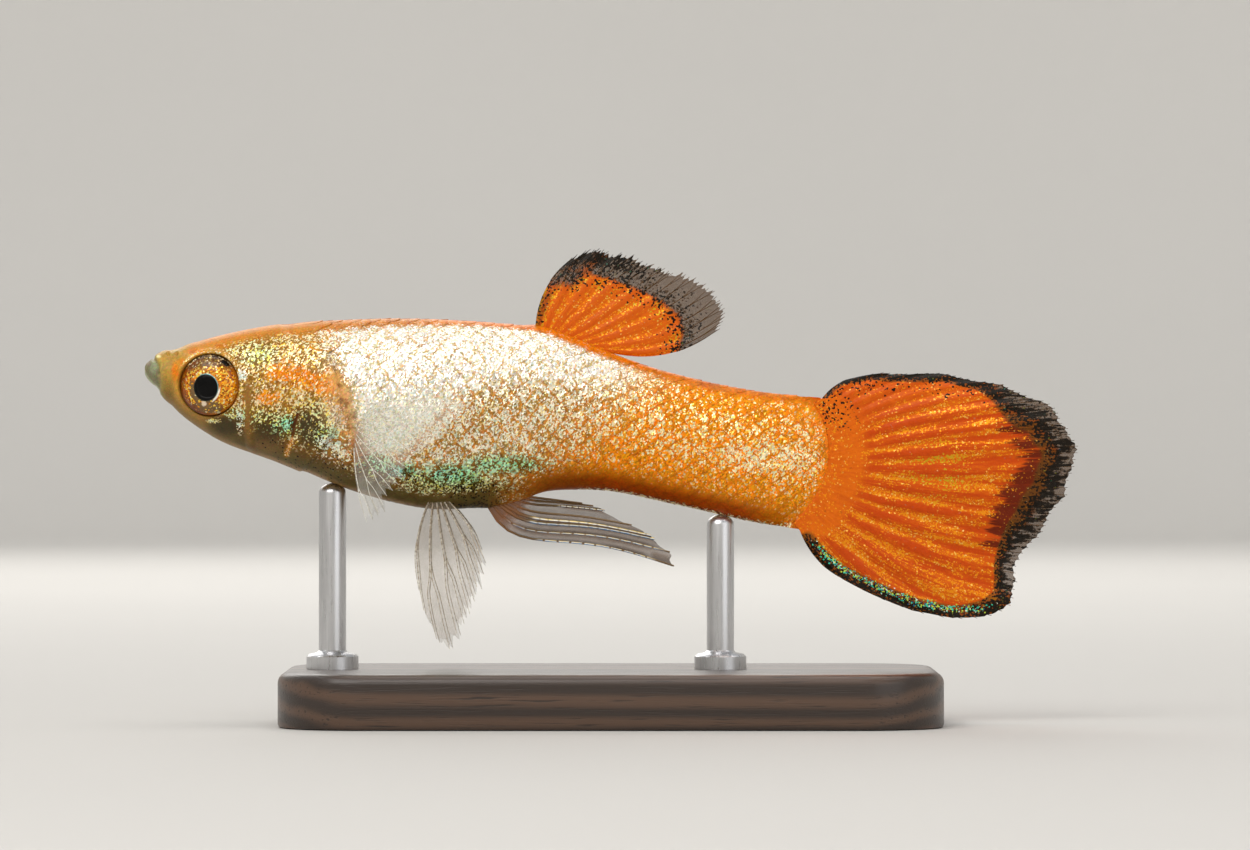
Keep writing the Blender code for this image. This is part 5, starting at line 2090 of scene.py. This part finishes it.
def make_studio(scene):
    """Floor bowl, lights, camera and the light from all round."""
    studio = scene.guppy_studio
    flat, corner, wall = 0.42, 0.10, 0.30
    turns = 96
    profile = [(flat * k / 12, 0.0) for k in range(1, 13)]
    for k in range(1, 13):
        angle = math.pi / 2 * k / 12
        profile.append((flat + corner * math.sin(angle), corner * (1 - math.cos(angle))))
    profile += [(flat + corner, corner + wall * k / 4) for k in range(1, 5)]
    points = [(0.0, 0.0, 0.0)]
    for radius, height in profile:
        for k in range(turns):
            turn = math.tau * k / turns
            points.append((radius * math.cos(turn), radius * math.sin(turn), height))
    faces = [(0, 1 + j, 1 + (j + 1) % turns) for j in range(turns)]
    faces += [tuple(1 + k for k in face) for face in grid_faces(len(profile), turns, True)]
    material, shader, wire = new_material("studio_paper", {"Roughness": 0.85})
    grain = wire.noise(wire.object_mm(), 0.02, 2.0)
    low = tuple(0.97 * c for c in studio.floor)
    wire.fill(shader, {"Base Color": wire.mix(grain, low, tuple(studio.floor))})
    new_piece("studio_floor", points, faces, material)
    middle = Vector((0.0, 0.0, 0.011))
    lamps = (
        ("key", (-0.10, -0.21, 0.22), 0.20, 0.46, (1.0, 0.97, 0.93)),
        ("fill", (0.20, -0.24, 0.10), 0.22, 0.14, (0.95, 0.97, 1.0)),
        ("top", (0.02, 0.03, 0.30), 0.16, 0.18, (1.0, 0.98, 0.95)),
        ("back", (-0.05, 0.26, 0.18), 0.20, 0.30, (1.0, 0.98, 0.95)),
    )
    washes = 6
    for number in range(washes):
        turn = math.tau * (number + 0.5) / washes
        place = (0.22 * math.cos(turn), 0.22 * math.sin(turn), 0.36)
        lamps += ((f"wash_{number}", place, 0.12, 0.55, (1.0, 0.99, 0.97)),)
    for name, place, size, power, colour in lamps:
        lamp = bpy.data.lights.new(name, "AREA")
        lamp.shape = "SQUARE"
        lamp.size = size
        lamp.energy = power
        lamp.color = colour
        holder = bpy.data.objects.new(name, lamp)
        holder.location = place
        holder.rotation_mode = "QUATERNION"
        target = Vector((2.6 * place[0], 2.6 * place[1], 0.10)) if "wash" in name else middle
        holder.rotation_quaternion = (target - Vector(place)).to_track_quat("-Z", "Y")
        scene.collection.objects.link(holder)
    world = bpy.data.worlds.new("studio_light")
    world.use_nodes = True
    background = world.node_tree.nodes["Background"]
    background.inputs["Color"].default_value = (0.93, 0.96, 1.0, 1.0)
    background.inputs["Strength"].default_value = studio.daylight
    scene.world = world
    aim = Vector((0.00051, 0.0, 0.01089))
    camera = bpy.data.cameras.new("camera")
    camera.sensor_width = 36
    camera.lens = camera.sensor_width * studio.camera_distance / studio.view_width
    camera.clip_start = 0.01
    holder = bpy.data.objects.new("camera", camera)
    holder.location = aim + Vector((0.0, -studio.camera_distance, 0.0))
    holder.rotation_euler = (math.pi / 2, 0.0, 0.0)
    scene.collection.objects.link(holder)
    scene.camera = holder
    scene.view_settings.view_transform = "Standard"


class GUPPY_OT_studio(bpy.types.Operator):
    """Set up the floor, lights and camera"""

    bl_idname = "guppy.studio"
    bl_label = "Studio"

    def execute(self, context):
        make_studio(context.scene)
        return {"FINISHED"}


class GUPPY_PT_panel(bpy.types.Panel):
    """Lists the pieces of the display model"""

    bl_idname = "GUPPY_PT_panel"
    bl_label = "Guppy Display Model"
    bl_space_type = "VIEW_3D"
    bl_region_type = "UI"
    bl_category = "Guppy"

    def draw(self, context):
        for operator in OPERATORS:
            self.layout.operator(operator.bl_idname)


SETTINGS = {
    "guppy_skin": GuppySkin,
    "guppy_scales": GuppyScales,
    "guppy_eyes": GuppyEyes,
    "guppy_fins": GuppyFins,
    "guppy_stand": GuppyStand,
    "guppy_studio": GuppyStudio,
}
OPERATORS = (
    GUPPY_OT_studio,
    GUPPY_OT_skin,
    GUPPY_OT_scales,
    GUPPY_OT_eyes,
    GUPPY_OT_tail_fin,
    GUPPY_OT_dorsal_fin,
    GUPPY_OT_anal_fin,
    GUPPY_OT_pelvic_fins,
    GUPPY_OT_pectoral_fins,
    GUPPY_OT_stand,
)


def register():
    for name, settings in SETTINGS.items():
        bpy.utils.register_class(settings)
        setattr(bpy.types.Scene, name, PointerProperty(type=settings))
    for operator in OPERATORS:
        bpy.utils.register_class(operator)
    bpy.utils.register_class(GUPPY_PT_panel)


def unregister():
    bpy.utils.unregister_class(GUPPY_PT_panel)
    for operator in reversed(OPERATORS):
        bpy.utils.unregister_class(operator)
    for name, settings in reversed(SETTINGS.items()):
        delattr(bpy.types.Scene, name)
        bpy.utils.unregister_class(settings)


def main():
    register()
    bpy.ops.guppy.studio()
    bpy.ops.guppy.skin()
    bpy.ops.guppy.scales()
    bpy.ops.guppy.eyes()
    bpy.ops.guppy.tail_fin()
    bpy.ops.guppy.dorsal_fin()
    bpy.ops.guppy.anal_fin()
    bpy.ops.guppy.pelvic_fins()
    bpy.ops.guppy.pectoral_fins()
    bpy.ops.guppy.stand()


if __name__ == "__main__":
    main()
